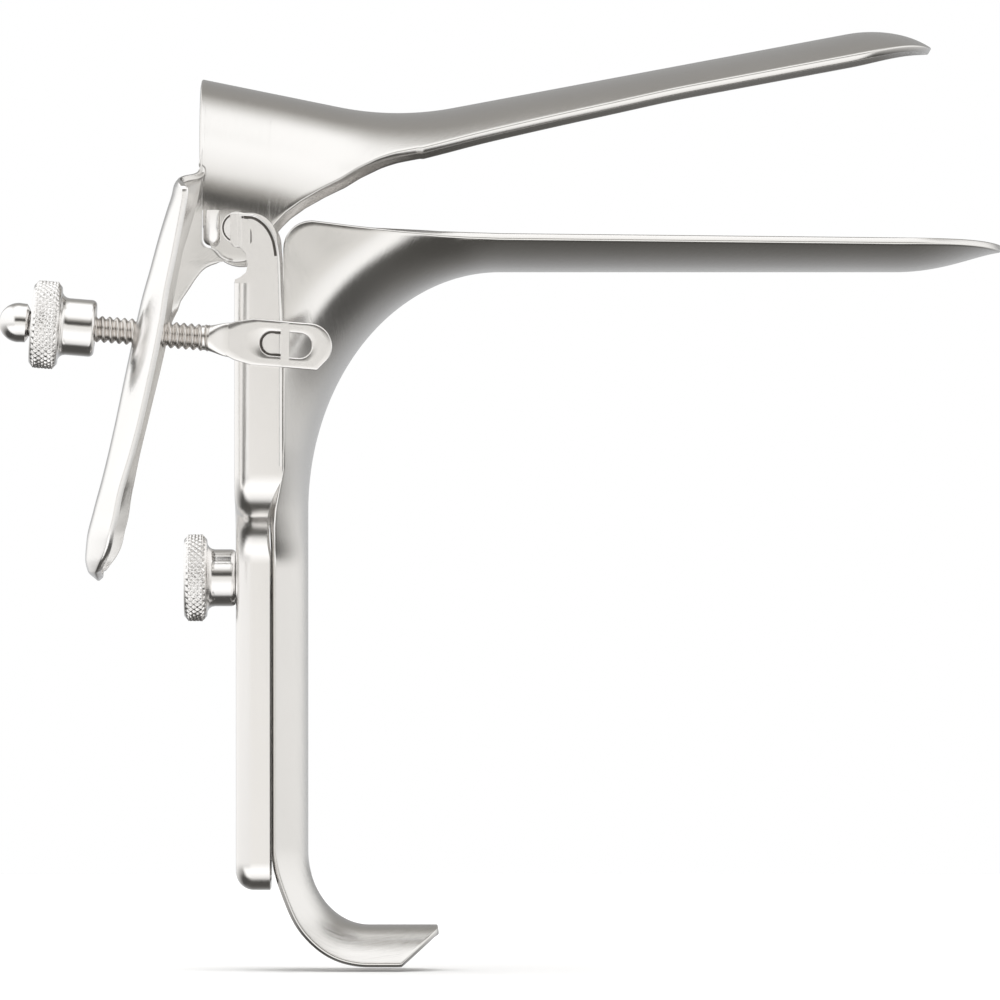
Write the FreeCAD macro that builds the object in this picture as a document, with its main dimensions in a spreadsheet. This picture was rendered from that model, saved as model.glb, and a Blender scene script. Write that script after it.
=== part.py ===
"""Bivalve speculum: two sheet-steel blades, a sliding yoke, a hinge and a screw stop.

The origin is the hinge axis of the upper blade, on the plane of symmetry. +X runs
towards the blade tips, +Z is up and -Y is the side of the thumb lever. Sizes are in
millimetres and come from the sheet "Sizes".
"""

import FreeCAD, Part
import math
import os

import Sketcher
from FreeCAD import Placement, Rotation, Vector

DRIVING_SIZES = {
    # one gauge of steel sheet serves the blades, and one the yoke
    "sheet": 1.1,
    "yoke_sheet": 1.1,
    "running_gap": 0.3,
    # lower blade, measured from the hinge axis
    "lower_tip_x": 109.4,
    "lower_spoon": 15.0,
    "lower_drop": 6.0,
    "lower_depth": 3.7,
    "tip_dip": 0.9,
    "rim_slope": 0.8,
    "blade_half_width": 15.5,
    "throat_x": 37.5,
    "throat_run": 27.6,
    "throat_height": 34.3,
    "throat_half_width": 19.0,
    "throat_depth": 17.2,
    "throat_trim": 2.2,
    "rim_rise": 1.2,
    "rim_corner": 3.8,
    "flare_rear_x": 6.8,
    # handle and hook, one trough with the lower blade
    "handle_half_width": 8.5,
    "handle_depth": 4.5,
    "handle_length": 48.9,
    "hook_run": 8.8,
    "hook_drop": 10.7,
    "hook_reach": 9.6,
    "hook_depth": 5.3,
    # upper blade with its collar and ears
    "collar_rear_x": -5.0,
    "collar_top": 21.7,
    "collar_half_width": 19.6,
    "collar_slope": 11.5,
    "upper_spoon": 11.5,
    "upper_angle": 10.6,
    "upper_depth": 3.4,
    "upper_tip_dip": 0.7,
    "upper_length": 77.5,
    "saddle_x": 22.5,
    "saddle_z": 16.1,
    "saddle_radius": 43.0,
    "ear_lobe": 4.7,
    "ear_lap": 0.4,
    "sweep_foot_run": 0.5,
    "sweep_low_run": 4.2,
    "sweep_low_round": 15.0,
    "sweep_top_run": 10.6,
    "sweep_top_rise": 7.3,
    "sweep_top_round": 13.0,
    "tab_rear_x": -5.0,
    "tab_width": 2.0,
    "tab_top": 2.6,
    "tab_length": 5.4,
    "tab_set": 1.5,
    # thumb lever, one sheet with the near ear
    "lever_angle": 13.5,
    "lever_top": 6.6,
    "lever_length": 58.0,
    "lever_half_width": 9.4,
    "lever_dish": 4.2,
    "web_foot": 13.2,
    "web_bow": 9.8,
    "web_top_rise": 3.0,
    "leaf_edge": 0.7,
    "leaf_shoulder": 6.0,
    "leaf_shoulder_drop": 5.5,
    "leaf_waist": 0.8,
    "leaf_taper": 24.0,
    "leaf_side_round": 60.0,
    "leaf_tip_rise": 3.4,
    "leaf_tip_near": 4.6,
    "leaf_tip_far": 3.6,
    "lever_rear_x": -10.8,
    "lever_curl": 6.0,
    "lever_tip_radius": 6.5,
    "rod_slot_drop": 14.9,
    "rod_slot_height": 5.6,
    "rod_slot_width": 4.7,
    # yoke: two arms and a channel stem
    "arm_front_x": 6.45,
    "arm_rear_x": -0.4,
    "arm_bend": 2.6,
    "arm_top": 2.1,
    "head_round": 3.8,
    "head_run": 4.4,
    "head_lean": 0.75,
    "head_drop": 3.5,
    "head_length": 14.0,
    "notch_top": 2.9,
    "notch_foot": 7.7,
    "notch_round": 2.45,
    "notch_reach": 1.2,
    "aperture_foot": 6.0,
    "stem_sweep": 14.0,
    "flange_reach": 4.8,
    "shoulder_top": 35.0,
    "stem_top": 48.0,
    "stem_half_width": 9.4,
    "stem_front_x": 4.5,
    "yoke_bottom": 94.8,
    "foot_round": 4.0,
    "stud_slot_length": 41.0,
    # hinge
    "pivot_radius": 2.3,
    "pivot_clearance": 0.06,
    "head_lip": 0.8,
    "shank_radius": 1.5,
    "stud_head": 0.8,
    # adjusting rod and its pieces, measured along the rod from the lug
    "rod_angle": 4.7,
    "lug_x": 6.9,
    "lug_drop": 16.65,
    "rod_radius": 1.9,
    "link_length": 10.9,
    "link_nose": 6.7,
    "link_corner": 2.4,
    "link_bevel_run": 3.2,
    "link_bevel_rise": 1.1,
    "link_flare": 3.6,
    "link_flare_round": 14.0,
    "neck_length": 3.0,
    "link_half_height": 3.3,
    "link_thickness": 1.2,
    "link_slot_rear": 3.6,
    "link_slot_front": 3.8,
    "link_slot_height": 3.5,
    "lug_thickness": 1.2,
    "lug_neck": 3.1,
    "lug_head": 6.0,
    "rod_end": 38.0,
    "stop_rear": 36.9,
    "stop_length": 3.9,
    "stop_radius": 2.8,
    "nut_rear": 36.2,
    "nut_length": 9.1,
    "nut_rim_width": 4.0,
    "nut_rim_radius": 6.25,
    "nut_hub_radius": 4.05,
    "thread_clearance": 0.06,
    "rim_bevel": 0.55,
    "hub_fillet": 0.9,
    "hub_round": 0.6,
    # locking screw
    "lock_drop": 50.0,
    "lock_radius": 1.8,
    "lock_nut_length": 7.5,
    "lock_rim_width": 3.3,
    "lock_rim_radius": 6.25,
    "lock_hub_radius": 4.1,
    "lock_head_radius": 3.6,
    "lock_head_height": 1.4,
    "slot_clearance": 0.25,
    # how far the outline of a cut runs past the sheet
    "overrun": 12.0,
}

DERIVED_SIZES = {
    # the arms clear the ears by the running gap
    "arm_half_width": "collar_half_width + running_gap + yoke_sheet",
}


def make_sheet(doc, sizes, derived):
    """Write every driving size and formula to one cell and give the cell its name."""
    sheet = doc.addObject("Spreadsheet::Sheet", "Sizes")
    contents = {alias: str(size) for alias, size in sizes.items()}
    contents.update({alias: f"={formula}" for alias, formula in derived.items()})
    for row, (alias, content) in enumerate(contents.items(), start=1):
        cell = f"A{row}"
        sheet.set(cell, content)
        sheet.setAlias(cell, alias)
    doc.recompute()
    return sheet


doc = FreeCAD.newDocument("bivalve_speculum")
sheet = make_sheet(doc, DRIVING_SIZES, DERIVED_SIZES)


def size(alias):
    """Short way to name a cell in an expression."""
    return f"Sizes.{alias}"


def number(expression):
    """Value of an expression of the sheet, as a plain number."""
    value = sheet.evalExpression(str(expression))
    return float(getattr(value, "Value", value))


def mix(first, second, share):
    """Expression that runs from first to second as share runs from 0 to 1."""
    return f"(({first}) + (({second}) - ({first})) * {share})"


def new_body(name):
    body = doc.addObject("PartDesign::Body", name)
    body.Label = name
    return body


def new_sketch(body, name, role, turn=None, shift=None):
    """Sketch on a plane of the body's own origin.

    turn is an angle about the sketch's first axis, and shift gives expressions for
    the offset along the sketch's first axis, second axis and normal.
    """
    plane = [item for item in body.Origin.OriginFeatures if item.Role == role][0]
    sketch = body.newObject("Sketcher::SketchObject", name)
    sketch.AttachmentSupport = [(plane, "")]
    sketch.MapMode = "FlatFace"
    sketch.AttachmentOffset = Placement(Vector(), Rotation(Vector(1, 0, 0), 1))
    sketch.setExpression("AttachmentOffset.Rotation.Angle", str(turn or "0"))
    for axis, offset in zip("xyz", shift or ("0", "0", "0")):
        sketch.setExpression(f"AttachmentOffset.Base.{axis}", str(offset))
    return sketch


def bind(sketch, constraint, expression, name):
    """Add a dimension and tie it to an expression."""
    index = sketch.addConstraint(constraint)
    sketch.renameConstraint(index, name)
    sketch.setExpression(f"Constraints.{name}", str(expression))


def arc_through(start, end, radius):
    """Arc from start to end; a positive radius bulges to the left of the way."""
    first = Vector(start[0], start[1], 0)
    last = Vector(end[0], end[1], 0)
    chord = last - first
    middle = (first + last) * 0.5
    left = Vector(-chord.y, chord.x, 0).normalize()
    reach = max(abs(radius), chord.Length / 2)
    rise = reach - math.sqrt(max(reach ** 2 - chord.Length ** 2 / 4, 0))
    top = middle + left * math.copysign(rise, radius)
    return Part.Arc(first, top, last)


def outline(sketch, corners, tag="side"):
    """Closed outline of lines and arcs.

    Each corner is (x, y) for a line to the next corner, or (x, y, radius) for an
    arc to it; all three are expressions. A radius that starts with a minus sign
    bulges to the right of the way round.
    """
    places = [(number(corner[0]), number(corner[1])) for corner in corners]
    total = len(corners)
    pieces = []
    for index, corner in enumerate(corners):
        start = places[index]
        end = places[(index + 1) % total]
        if len(corner) == 3:
            shape = arc_through(start, end, number(corner[2]))
        else:
            shape = Part.LineSegment(Vector(*start, 0), Vector(*end, 0))
        pieces.append(sketch.addGeometry(shape, False))
    # an arc may be stored turned round, so its two ends are told apart by place
    ends = []
    for index, piece in enumerate(pieces):
        first = sketch.getPoint(piece, 1)
        here = Vector(*places[index], 0)
        there = Vector(*places[(index + 1) % total], 0)
        forward = (first - here).Length <= (first - there).Length
        ends.append((1, 2) if forward else (2, 1))
    for index, corner in enumerate(corners):
        before = (index - 1) % total
        sketch.addConstraint(Sketcher.Constraint(
            "Coincident", pieces[before], ends[before][1], pieces[index], ends[index][0]))
        for axis, kind in ((0, "DistanceX"), (1, "DistanceY")):
            bind(sketch,
                 Sketcher.Constraint(kind, -1, 1, pieces[index], ends[index][0],
                                     places[index][axis]),
                 corner[axis], f"{tag}{index}_{'xy'[axis]}")
        if len(corner) == 3:
            radius = abs(number(corner[2]))
            bind(sketch, Sketcher.Constraint("Radius", pieces[index], radius),
                 f"abs({corner[2]})", f"{tag}{index}_radius")
    return sketch


def circle(sketch, x, y, radius, tag="round"):
    """Circle whose centre and radius are expressions."""
    centre = Vector(number(x), number(y), 0)
    piece = sketch.addGeometry(Part.Circle(centre, Vector(0, 0, 1), number(radius)), False)
    bind(sketch, Sketcher.Constraint("DistanceX", -1, 1, piece, 3, centre.x), x, f"{tag}_x")
    bind(sketch, Sketcher.Constraint("DistanceY", -1, 1, piece, 3, centre.y), y, f"{tag}_y")
    bind(sketch, Sketcher.Constraint("Radius", piece, number(radius)), radius, f"{tag}_size")
    return sketch


def pad(body, sketch, length, name, both_ways=False, reversed_way=False):
    feature = body.newObject("PartDesign::Pad", name)
    feature.Profile = sketch
    feature.Midplane = both_ways
    feature.Reversed = reversed_way
    feature.setExpression("Length", str(length))
    sketch.Visibility = False
    return feature


def pocket_through(body, sketch, name):
    """Cut a sketch right through the body, both ways from its plane."""
    feature = body.newObject("PartDesign::Pocket", name)
    feature.Profile = sketch
    feature.Type = "ThroughAll"
    feature.Midplane = True
    sketch.Visibility = False
    return feature


def pocket(body, sketch, length, name, reversed_way=False):
    feature = body.newObject("PartDesign::Pocket", name)
    feature.Profile = sketch
    feature.Reversed = reversed_way
    feature.setExpression("Length", str(length))
    sketch.Visibility = False
    return feature


def trough_section(body, name, place, turn, radius, reach, side="0", gauge="Sizes.sheet"):
    """Band of sheet across a trough, drawn in a plane square to its crown line.

    place is (x, z) of the crown, turn the tilt of the plane about Y, radius the
    outer radius of the trough, and reach the height of the rim over the crown.
    """
    sketch = new_sketch(body, name, "YZ_Plane", turn, (side, place[1], place[0]))
    spread = f"acos(1 - ({reach}) / ({radius}))"
    inner = f"(({radius}) - {gauge})"
    outer_x = f"({radius}) * sin({spread})"
    outer_y = f"({radius}) * (1 - cos({spread}))"
    inner_x = f"{inner} * sin({spread})"
    inner_y = f"({radius}) - {inner} * cos({spread})"
    return outline(sketch, [
        (f"-({outer_x})", outer_y, f"-({radius})"),
        (outer_x, outer_y),
        (inner_x, inner_y, inner),
        (f"-({inner_x})", inner_y)])


def loft(body, sections, name):
    feature = body.newObject("PartDesign::AdditiveLoft", name)
    feature.Profile = sections[0]
    feature.Sections = sections[1:]
    feature.Ruled = False
    for section in sections:
        section.Visibility = False
    return feature


def trough_radius(half_width, depth):
    """Radius of the arc with this half chord and this rise."""
    return f"((({half_width})^2 + ({depth})^2) / (2 * ({depth})))"


def lower_blade():
    """Blade, throat, handle and hook: one trough of sheet that turns twice.

    The crown line runs along the blade, round a quarter ellipse in the throat, down
    the handle and round a second quarter ellipse into the hook.
    """
    body = new_body("lower_blade")
    blade_radius = trough_radius(size("blade_half_width"), size("lower_depth"))
    drop = f"-{size('lower_drop')}"
    sections = []

    # spoon end: the crown climbs to the rim as a parabola, and the rim dips at the tip
    for count, share in enumerate((0.994, 0.96, 0.88, 0.75, 0.55, 0.3, 0.0)):
        x = f"{size('lower_tip_x')} - {size('lower_spoon')} * {1 - share}"
        z = (f"{drop} + {size('lower_depth')} * {share ** 2} "
             f"- {size('tip_dip')} * {share ** 6}")
        turn = f"-atan(2 * {size('lower_depth')} * {share} / {size('lower_spoon')})"
        depth = f"{size('lower_depth')} * {1 - share ** 2}"
        sections.append(trough_section(body, f"spoon_{count}", (x, z), turn,
                                       blade_radius, depth))
    spoon_x = f"({size('lower_tip_x')} - {size('lower_spoon')})"
    for count, share in enumerate((0.15, 0.35, 0.55, 0.75, 0.9)):
        sections.append(trough_section(
            body, f"blade_{count}", (mix(spoon_x, size("throat_x"), share), drop), "0",
            blade_radius, f"{size('lower_depth')} + {size('rim_slope')} * {share}"))

    # throat: shares of the way from blade (or handle) to the full flare
    flare = (("blade_half_width", "lower_depth", 0, 0.08, 0.04, 0.14),
             ("blade_half_width", "lower_depth", 15, 0.40, 0.24, 0.6),
             ("blade_half_width", "lower_depth", 30, 0.85, 0.76, 1.0),
             ("throat_half_width", "throat_depth", 38, 1.0, 1.0, 1.0),
             ("handle_half_width", "handle_depth", 46, 0.99, 0.80, 1.0),
             ("handle_half_width", "handle_depth", 60, 0.92, 0.26, 1.0),
             ("handle_half_width", "handle_depth", 75, 0.70, 0.0, 0.5),
             ("handle_half_width", "handle_depth", 90, 0.33, -0.03, 0.0))
    run = size("throat_run")
    height = size("throat_height")
    for narrow, shallow, angle, wide_share, deep_share, trim_share in flare:
        x = f"{size('throat_x')} - {run} * sin({angle} deg)"
        z = f"{drop} - {height} * (1 - cos({angle} deg))"
        turn = f"-atan2({height} * sin({angle} deg); {run} * cos({angle} deg))"
        wide = mix(size(narrow), size("throat_half_width"), wide_share)
        deep = mix(size(shallow), size("throat_depth"), deep_share)
        reach = f"({deep}) + {size('throat_trim')} * {trim_share}"
        sections.append(trough_section(body, f"throat_{angle}", (x, z), turn,
                                       trough_radius(wide, deep), reach))

    # handle
    front_x = f"{size('throat_x')} - {run}"
    foot_z = f"{drop} - {height}"
    handle_radius = trough_radius(size("handle_half_width"), size("handle_depth"))
    neck_share = 0.16
    for count, share in enumerate((neck_share, 0.3, 0.5, 0.7, 0.88, 1.0)):
        sections.append(trough_section(
            body, f"handle_{count}", (front_x, f"{foot_z} - {size('handle_length')} * {share}"),
            "-90", handle_radius, size("handle_depth")))

    # hook
    hook_radius = trough_radius(size("handle_half_width"), size("hook_depth"))
    base_z = f"{foot_z} - {size('handle_length')}"
    for angle, deep_share in ((25, -0.5), (50, 0.4), (75, 1.0), (90, 1.0)):
        x = f"{front_x} + {size('hook_run')} * (1 - cos({angle} deg))"
        z = f"{base_z} - {size('hook_drop')} * sin({angle} deg)"
        turn = (f"-90 deg - atan2({size('hook_run')} * sin({angle} deg); "
                f"{size('hook_drop')} * cos({angle} deg))")
        deep = mix(size("handle_depth"), size("hook_depth"), deep_share)
        sections.append(trough_section(body, f"hook_{angle}", (x, z), turn,
                                       trough_radius(size("handle_half_width"), deep), deep))
    hook_end_x = f"{front_x} + {size('hook_run')} + {size('hook_reach')}"
    hook_z = f"{base_z} - {size('hook_drop')}"
    for count, share in enumerate((0.5, 1.0)):
        place = (mix(f"{front_x} + {size('hook_run')}", hook_end_x, share), hook_z)
        sections.append(trough_section(body, f"hook_end_{count}", place, "-180",
                                       hook_radius, size("hook_depth")))
    loft(body, sections, "formed_trough")
    doc.recompute()

    # the rim of the flare is trimmed flat, with a round corner over the ears
    rear = size("flare_rear_x")
    corner = size("rim_corner")
    rise = size("rim_rise")
    blade_rim = f"{size('lower_depth')} - {size('lower_drop')}"
    neck_z = f"{foot_z} - {size('handle_length')} * {neck_share}"
    beyond = f"5 * {size('overrun')}"
    trim = new_sketch(body, "rim_trim", "XZ_Plane")
    outline(trim, [
        (f"{size('throat_x')} + 2", f"{blade_rim} + {size('rim_slope')} + 0.9 * {size('sheet')}",
         f"{size('throat_x')} * 16"),
        (f"{rear} + {corner}", rise, f"-{corner}"),
        (rear, f"{rise} - {corner}"),
        (rear, f"-{size('shoulder_top')} - 0.5"),
        (f"{front_x} - {size('handle_depth')}", f"{foot_z} - 2"),
        (f"{front_x} - {size('handle_depth')}", neck_z),
        (f"-{beyond}", neck_z),
        (f"-{beyond}", beyond),
        (f"{size('throat_x')} + 2", beyond)])
    pocket_through(body, trim, "rim_trimming")

    # the hook ends in a tongue, cut back at its sides
    tongue = new_sketch(body, "tongue_trim", "XZ_Plane")
    cut_x = f"{hook_end_x} - {size('hook_depth')} - {size('running_gap')}"
    outline(tongue, [
        (hook_end_x, f"{hook_z} + 1"),
        (f"{hook_end_x} - 0.2", f"{hook_z} - 0.6", "12"),
        (cut_x, f"{hook_z} - {size('hook_depth')} - 0.2"),
        (cut_x, f"{hook_z} - {size('overrun')}"),
        (f"{hook_end_x} + {size('overrun')}", f"{hook_z} - {size('overrun')}"),
        (f"{hook_end_x} + {size('overrun')}", f"{hook_z} + 1")])
    pocket_through(body, tongue, "tongue_trimming")

    bore = new_sketch(body, "stud_bore", "YZ_Plane", None, ("0", "0", front_x))
    circle(bore, "0", f"-{size('lock_drop')}", size("lock_radius"))
    boring = pocket(body, bore, f"2 * {size('handle_depth')}", "stud_boring")
    boring.Midplane = True
    return body


def upper_blade():
    """Upper blade, collar, two ears and the thumb lever: one formed sheet."""
    body = new_body("upper_blade")
    wide = size("collar_half_width")
    blade_wide = size("blade_half_width")
    blade_deep = size("upper_depth")
    meet = (size("saddle_x"), size("saddle_z"))
    tilt = f"({size('upper_angle')} * 1 deg)"
    fall = f"({size('collar_slope')} * 1 deg)"
    sections = []

    def on_collar(distance):
        return (f"{meet[0]} - ({distance}) * cos({fall})",
                f"{meet[1]} + ({distance}) * sin({fall})")

    def on_blade(distance):
        return (f"{meet[0]} + ({distance}) * cos({tilt})",
                f"{meet[1]} + ({distance}) * sin({tilt})")

    # collar: a half round of constant radius over the ears
    collar_length = f"({meet[0]} - {size('collar_rear_x')}) / cos({fall})"
    for count, share in enumerate((1.1, 0.85, 0.65)):
        place = on_collar(f"{collar_length} * {share}")
        sections.append(trough_section(body, f"collar_{count}", place, "180", wide, f"{wide} * 0.995"))

    # saddle: the half round flattens into the blade
    tangent = f"{size('saddle_radius')} * tan(({fall} + {tilt}) / 2)"
    saddle = ((f"{collar_length} * 0.455", 0.90, 0.64, 2.0),
              (tangent, 0.74, 0.44, 0.3))
    for count, (distance, wide_share, deep_share, spare) in enumerate(saddle):
        half = mix(blade_wide, wide, wide_share)
        deep = mix(blade_deep, wide, deep_share)
        sections.append(trough_section(body, f"saddle_{count}", on_collar(distance), "180",
                                       trough_radius(half, deep), f"({deep}) + {spare}"))
    bottom = (meet[0], f"{meet[1]} + {size('saddle_radius')} * (1 / cos(({fall} + {tilt}) / 2) - 1)")
    half = mix(blade_wide, wide, 0.42)
    deep = mix(blade_deep, wide, 0.17)
    sections.append(trough_section(body, "saddle_bottom", bottom, f"180 deg - {tilt} * 0.3",
                                   trough_radius(half, deep), deep))

    # blade
    length = size("upper_length")
    spoon = size("upper_spoon")
    straight = ((0.11, 0.17, 0.078, 0.75), (0.24, 0.06, 0.045, 1), (0.39, 0.0, 0.02, 1),
                (0.55, 0.0, 0.0, 1), (0.7, 0.0, 0.0, 1))
    square = f"180 deg - {tilt}"
    for count, (share, wide_share, deep_share, turn_share) in enumerate(straight):
        half = mix(blade_wide, wide, wide_share)
        deep = mix(blade_deep, wide, deep_share)
        sections.append(trough_section(body, f"blade_{count}", on_blade(f"{length} * {share}"),
                                       f"180 deg - {tilt} * {turn_share}",
                                       trough_radius(half, deep), deep))
    blade_radius = trough_radius(blade_wide, blade_deep)
    for count, share in enumerate((0.0, 0.3, 0.55, 0.75, 0.88, 0.96, 0.994)):
        along = f"({length} - {spoon} * {1 - share})"
        sink = f"({blade_deep} * {share ** 2} + {size('upper_tip_dip')} * {share ** 6})"
        x = f"{meet[0]} + {along} * cos({tilt}) + {sink} * sin({tilt})"
        z = f"{meet[1]} + {along} * sin({tilt}) - {sink} * cos({tilt})"
        turn = f"{square} + atan(2 * {blade_deep} * {share} / {spoon})"
        depth = f"{blade_deep} * {1 - share ** 2}"
        sections.append(trough_section(body, f"spoon_{count}", (x, z), turn,
                                       blade_radius, depth))
    loft(body, sections, "formed_blade")
    doc.recompute()

    # rear rim of the collar, and the swept front edge that runs down to the ears
    rear = size("collar_rear_x")
    lobe = size("ear_lobe")
    trim = new_sketch(body, "rear_trim", "XZ_Plane")
    lap = size("ear_lap")
    overrun = size("overrun")
    above = f"{size('collar_top')} + {overrun}"
    below = f"-{overrun}"
    outline(trim, [
        (f"{rear} - {lap} / 4", above),
        (f"{rear} + {lap} / 3", f"{size('collar_top')} + 1"),
        (f"{rear} - {lap}", "0"),
        (f"{rear} - {lap}", below),
        (f"{rear} - {overrun}", below),
        (f"{rear} - {overrun}", above)])
    pocket_through(body, trim, "rear_trimming")
    sweep = new_sketch(body, "sweep_trim", "XZ_Plane")
    outline(sweep, [
        (f"{lobe} + {size('sweep_foot_run')}", f"-{size('sweep_foot_run')}", size("sweep_low_round")),
        (f"{lobe} + {size('sweep_low_run')}", size("sweep_low_run"), size("sweep_top_round")),
        (f"{lobe} + {size('sweep_top_run')}", size("sweep_top_rise")),
        (f"{lobe} + {size('sweep_top_run')}", below),
        (f"{lobe} + {size('sweep_foot_run')}", below)])
    pocket_through(body, sweep, "sweep_trimming")

    # ears: flat cheeks tangent to the half round, with a lobe round the hinge
    inner = f"{wide} - {size('sheet')}"
    seam = f"{size('collar_top')} - {wide}"
    far = new_sketch(body, "far_ear", "XZ_Plane", None, ("0", "0", f"-({wide})"))
    outline(far, [
        (f"{rear} - {lap}", f"{seam} + 0.6"),
        (f"{lobe} + {size('sweep_foot_run')}", lap),
        (lobe, "0", lobe),
        ("0", f"-{lobe}", lobe),
        (f"-{lobe}", "0")])
    pad(body, far, size("sheet"), "far_cheek")
    near = new_sketch(body, "near_ear", "XZ_Plane", None, ("0", "0", inner))
    lever_x = size("lever_rear_x")
    slope = f"tan({size('lever_angle')} * 1 deg)"
    edge = f"{size('lever_dish')} - {size('leaf_edge')}"
    rise = size("web_top_rise")
    foot = f"({size('web_foot')})"
    outline(near, [
        (f"{rear} - {lap}", f"{size('lever_top')} + {rise}", rise),
        (f"{lever_x} + {edge} + {size('lever_top')} * {slope}", size("lever_top")),
        (f"{lever_x} + {edge} - {foot} * {slope}", f"-{foot}", size("web_bow")),
        ("0", f"-{lobe}", f"-{lobe}"),
        (lobe, "0"),
        (f"{lobe} + {size('sweep_foot_run')}", lap),
        (f"{rear} - {lap}", f"{seam} + 0.6")])
    pad(body, near, size("sheet"), "near_cheek")

    thumb_lever(body)
    ear_tab(body)

    hole = new_sketch(body, "pivot_hole", "XZ_Plane")
    circle(hole, "0", "0", f"{size('pivot_radius')} + {size('pivot_clearance')}")
    pocket_through(body, hole, "pivot_boring")
    return body


def ear_tab(body):
    """Tab behind the hinge, cut on three sides out of the near ear and set inwards."""
    sheet_in = f"({size('collar_half_width')} - {size('sheet')})"
    rear = size("tab_rear_x")
    front = f"{rear} + {size('tab_width')}"
    top = size("tab_top")
    foot = f"{top} - {size('tab_length')}"
    corner = f"({size('tab_width')} / 2 - {size('running_gap')} / 2)"
    gap = size("running_gap")
    window = new_sketch(body, "tab_window", "XZ_Plane", None,
                        ("0", "0", f"{size('collar_half_width')} + {gap}"))
    outline(window, [
        (rear, top),
        (rear, f"{foot} + {corner}", f"-{corner}"),
        (f"{rear} + {corner}", foot),
        (f"{front} - {corner}", foot, f"-{corner}"),
        (front, f"{foot} + {corner}"),
        (front, top)])
    pocket(body, window, f"{size('sheet')} + 2 * {gap}", "tab_windowing")
    tab = new_sketch(body, "tab_profile", "YZ_Plane", None, ("0", "0", f"{rear} + {gap} / 2"))
    inward = size("tab_set")
    tab_foot = f"{foot} + {corner}"
    outline(tab, [
        (f"-{size('collar_half_width')}", f"{top} + {gap}"),
        (f"-{sheet_in}", f"{top} + {gap}"),
        (f"-{sheet_in} + {inward}", tab_foot),
        (f"-{size('collar_half_width')} + {inward}", tab_foot)])
    pad(body, tab, f"{size('tab_width')} - {gap}", "set_tab")


def thumb_lever(body):
    """Dished leaf that turns out of the near ear and hangs behind the yoke."""
    lean = f"({size('lever_angle')} * 1 deg)"
    half = size("lever_half_width")
    inner = f"({size('collar_half_width')} - {size('sheet')})"
    side = f"-({inner} + {half})"
    top = size("lever_top")
    length = size("lever_length")
    sections = []
    stations = ((0.0, 0.0, 1.0), (0.15, 0.0, 1.0), (0.35, 0.0, 1.0), (0.6, 0.0, 0.9),
                (0.8, 0.0, 0.8), (0.92, 0.25, 0.75), (1.0, 1.0, 0.7))
    for count, (share, curl_share, dish_share) in enumerate(stations):
        along = f"({length} * {share})"
        curl = f"({size('lever_curl')} * {curl_share})"
        x = f"{size('lever_rear_x')} + ({top} - {along} * cos({lean})) * tan({lean}) + {curl}"
        z = f"{top} - {along} * cos({lean})"
        dish = f"({size('lever_dish')} * {dish_share})"
        turn = f"90 deg + {lean} - 32 deg * {curl_share}"
        sections.append(trough_section(body, f"lever_{count}", (x, z), turn,
                                       trough_radius(half, dish), dish, side))
    loft(body, sections, "lever_leaf")
    doc.recompute()

    # leaf outline from behind: a shoulder at the top and a round tip
    tip_z = f"({top} - {length} * cos({lean}))"
    outer = f"({inner} + 2 * {half} + {size('running_gap')})"
    waist = size("leaf_waist")
    taper_z = f"{tip_z} + {size('leaf_taper')}"
    tip_rise = f"{tip_z} + {size('leaf_tip_rise')}"
    bow = f"-{size('leaf_side_round')}"
    past = size("overrun")
    trim = new_sketch(body, "leaf_trim", "YZ_Plane", None, ("0", "0", size("lever_rear_x")))
    outline(trim, [
        (f"-{outer} + {size('leaf_shoulder')}", f"{top} + 1", f"-{half}"),
        (f"-{outer} + {waist}", f"{top} - {size('leaf_shoulder_drop')}"),
        (f"-{outer} + {waist}", taper_z, bow),
        (f"{side} - {size('leaf_tip_near')}", tip_rise, f"-{size('lever_tip_radius')}"),
        (f"{side} + {size('leaf_tip_far')}", tip_rise, bow),
        (f"-{inner} + {size('running_gap')} / 3", taper_z),
        (f"-{inner} + {past}", taper_z),
        (f"-{inner} + {past}", f"{tip_z} - {past}"),
        (f"-{outer} - {past}", f"{tip_z} - {past}"),
        (f"-{outer} - {past}", f"{top} + 1")])
    pocket_through(body, trim, "leaf_trimming")

    # slot for the adjusting rod, beside the fold
    slot = new_sketch(body, "rod_slot", "YZ_Plane", None, ("0", "0", size("lever_rear_x")))
    near_edge = f"-({size('collar_half_width')} + 0.1)"
    far_edge = f"{near_edge} - {size('rod_slot_width')}"
    middle = f"-{size('rod_slot_drop')}"
    upper = f"{middle} + {size('rod_slot_height')} / 2"
    lower = f"{middle} - {size('rod_slot_height')} / 2"
    outline(slot, [(near_edge, lower), (near_edge, upper), (far_edge, upper), (far_edge, lower)])
    pocket_through(body, slot, "rod_slotting")


def ogee_radius(offset, length):
    """Radius of the two equal arcs that join parallel lines this far apart."""
    return f"((({offset} / 2)^2 + ({length} / 2)^2) / {offset})"


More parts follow.
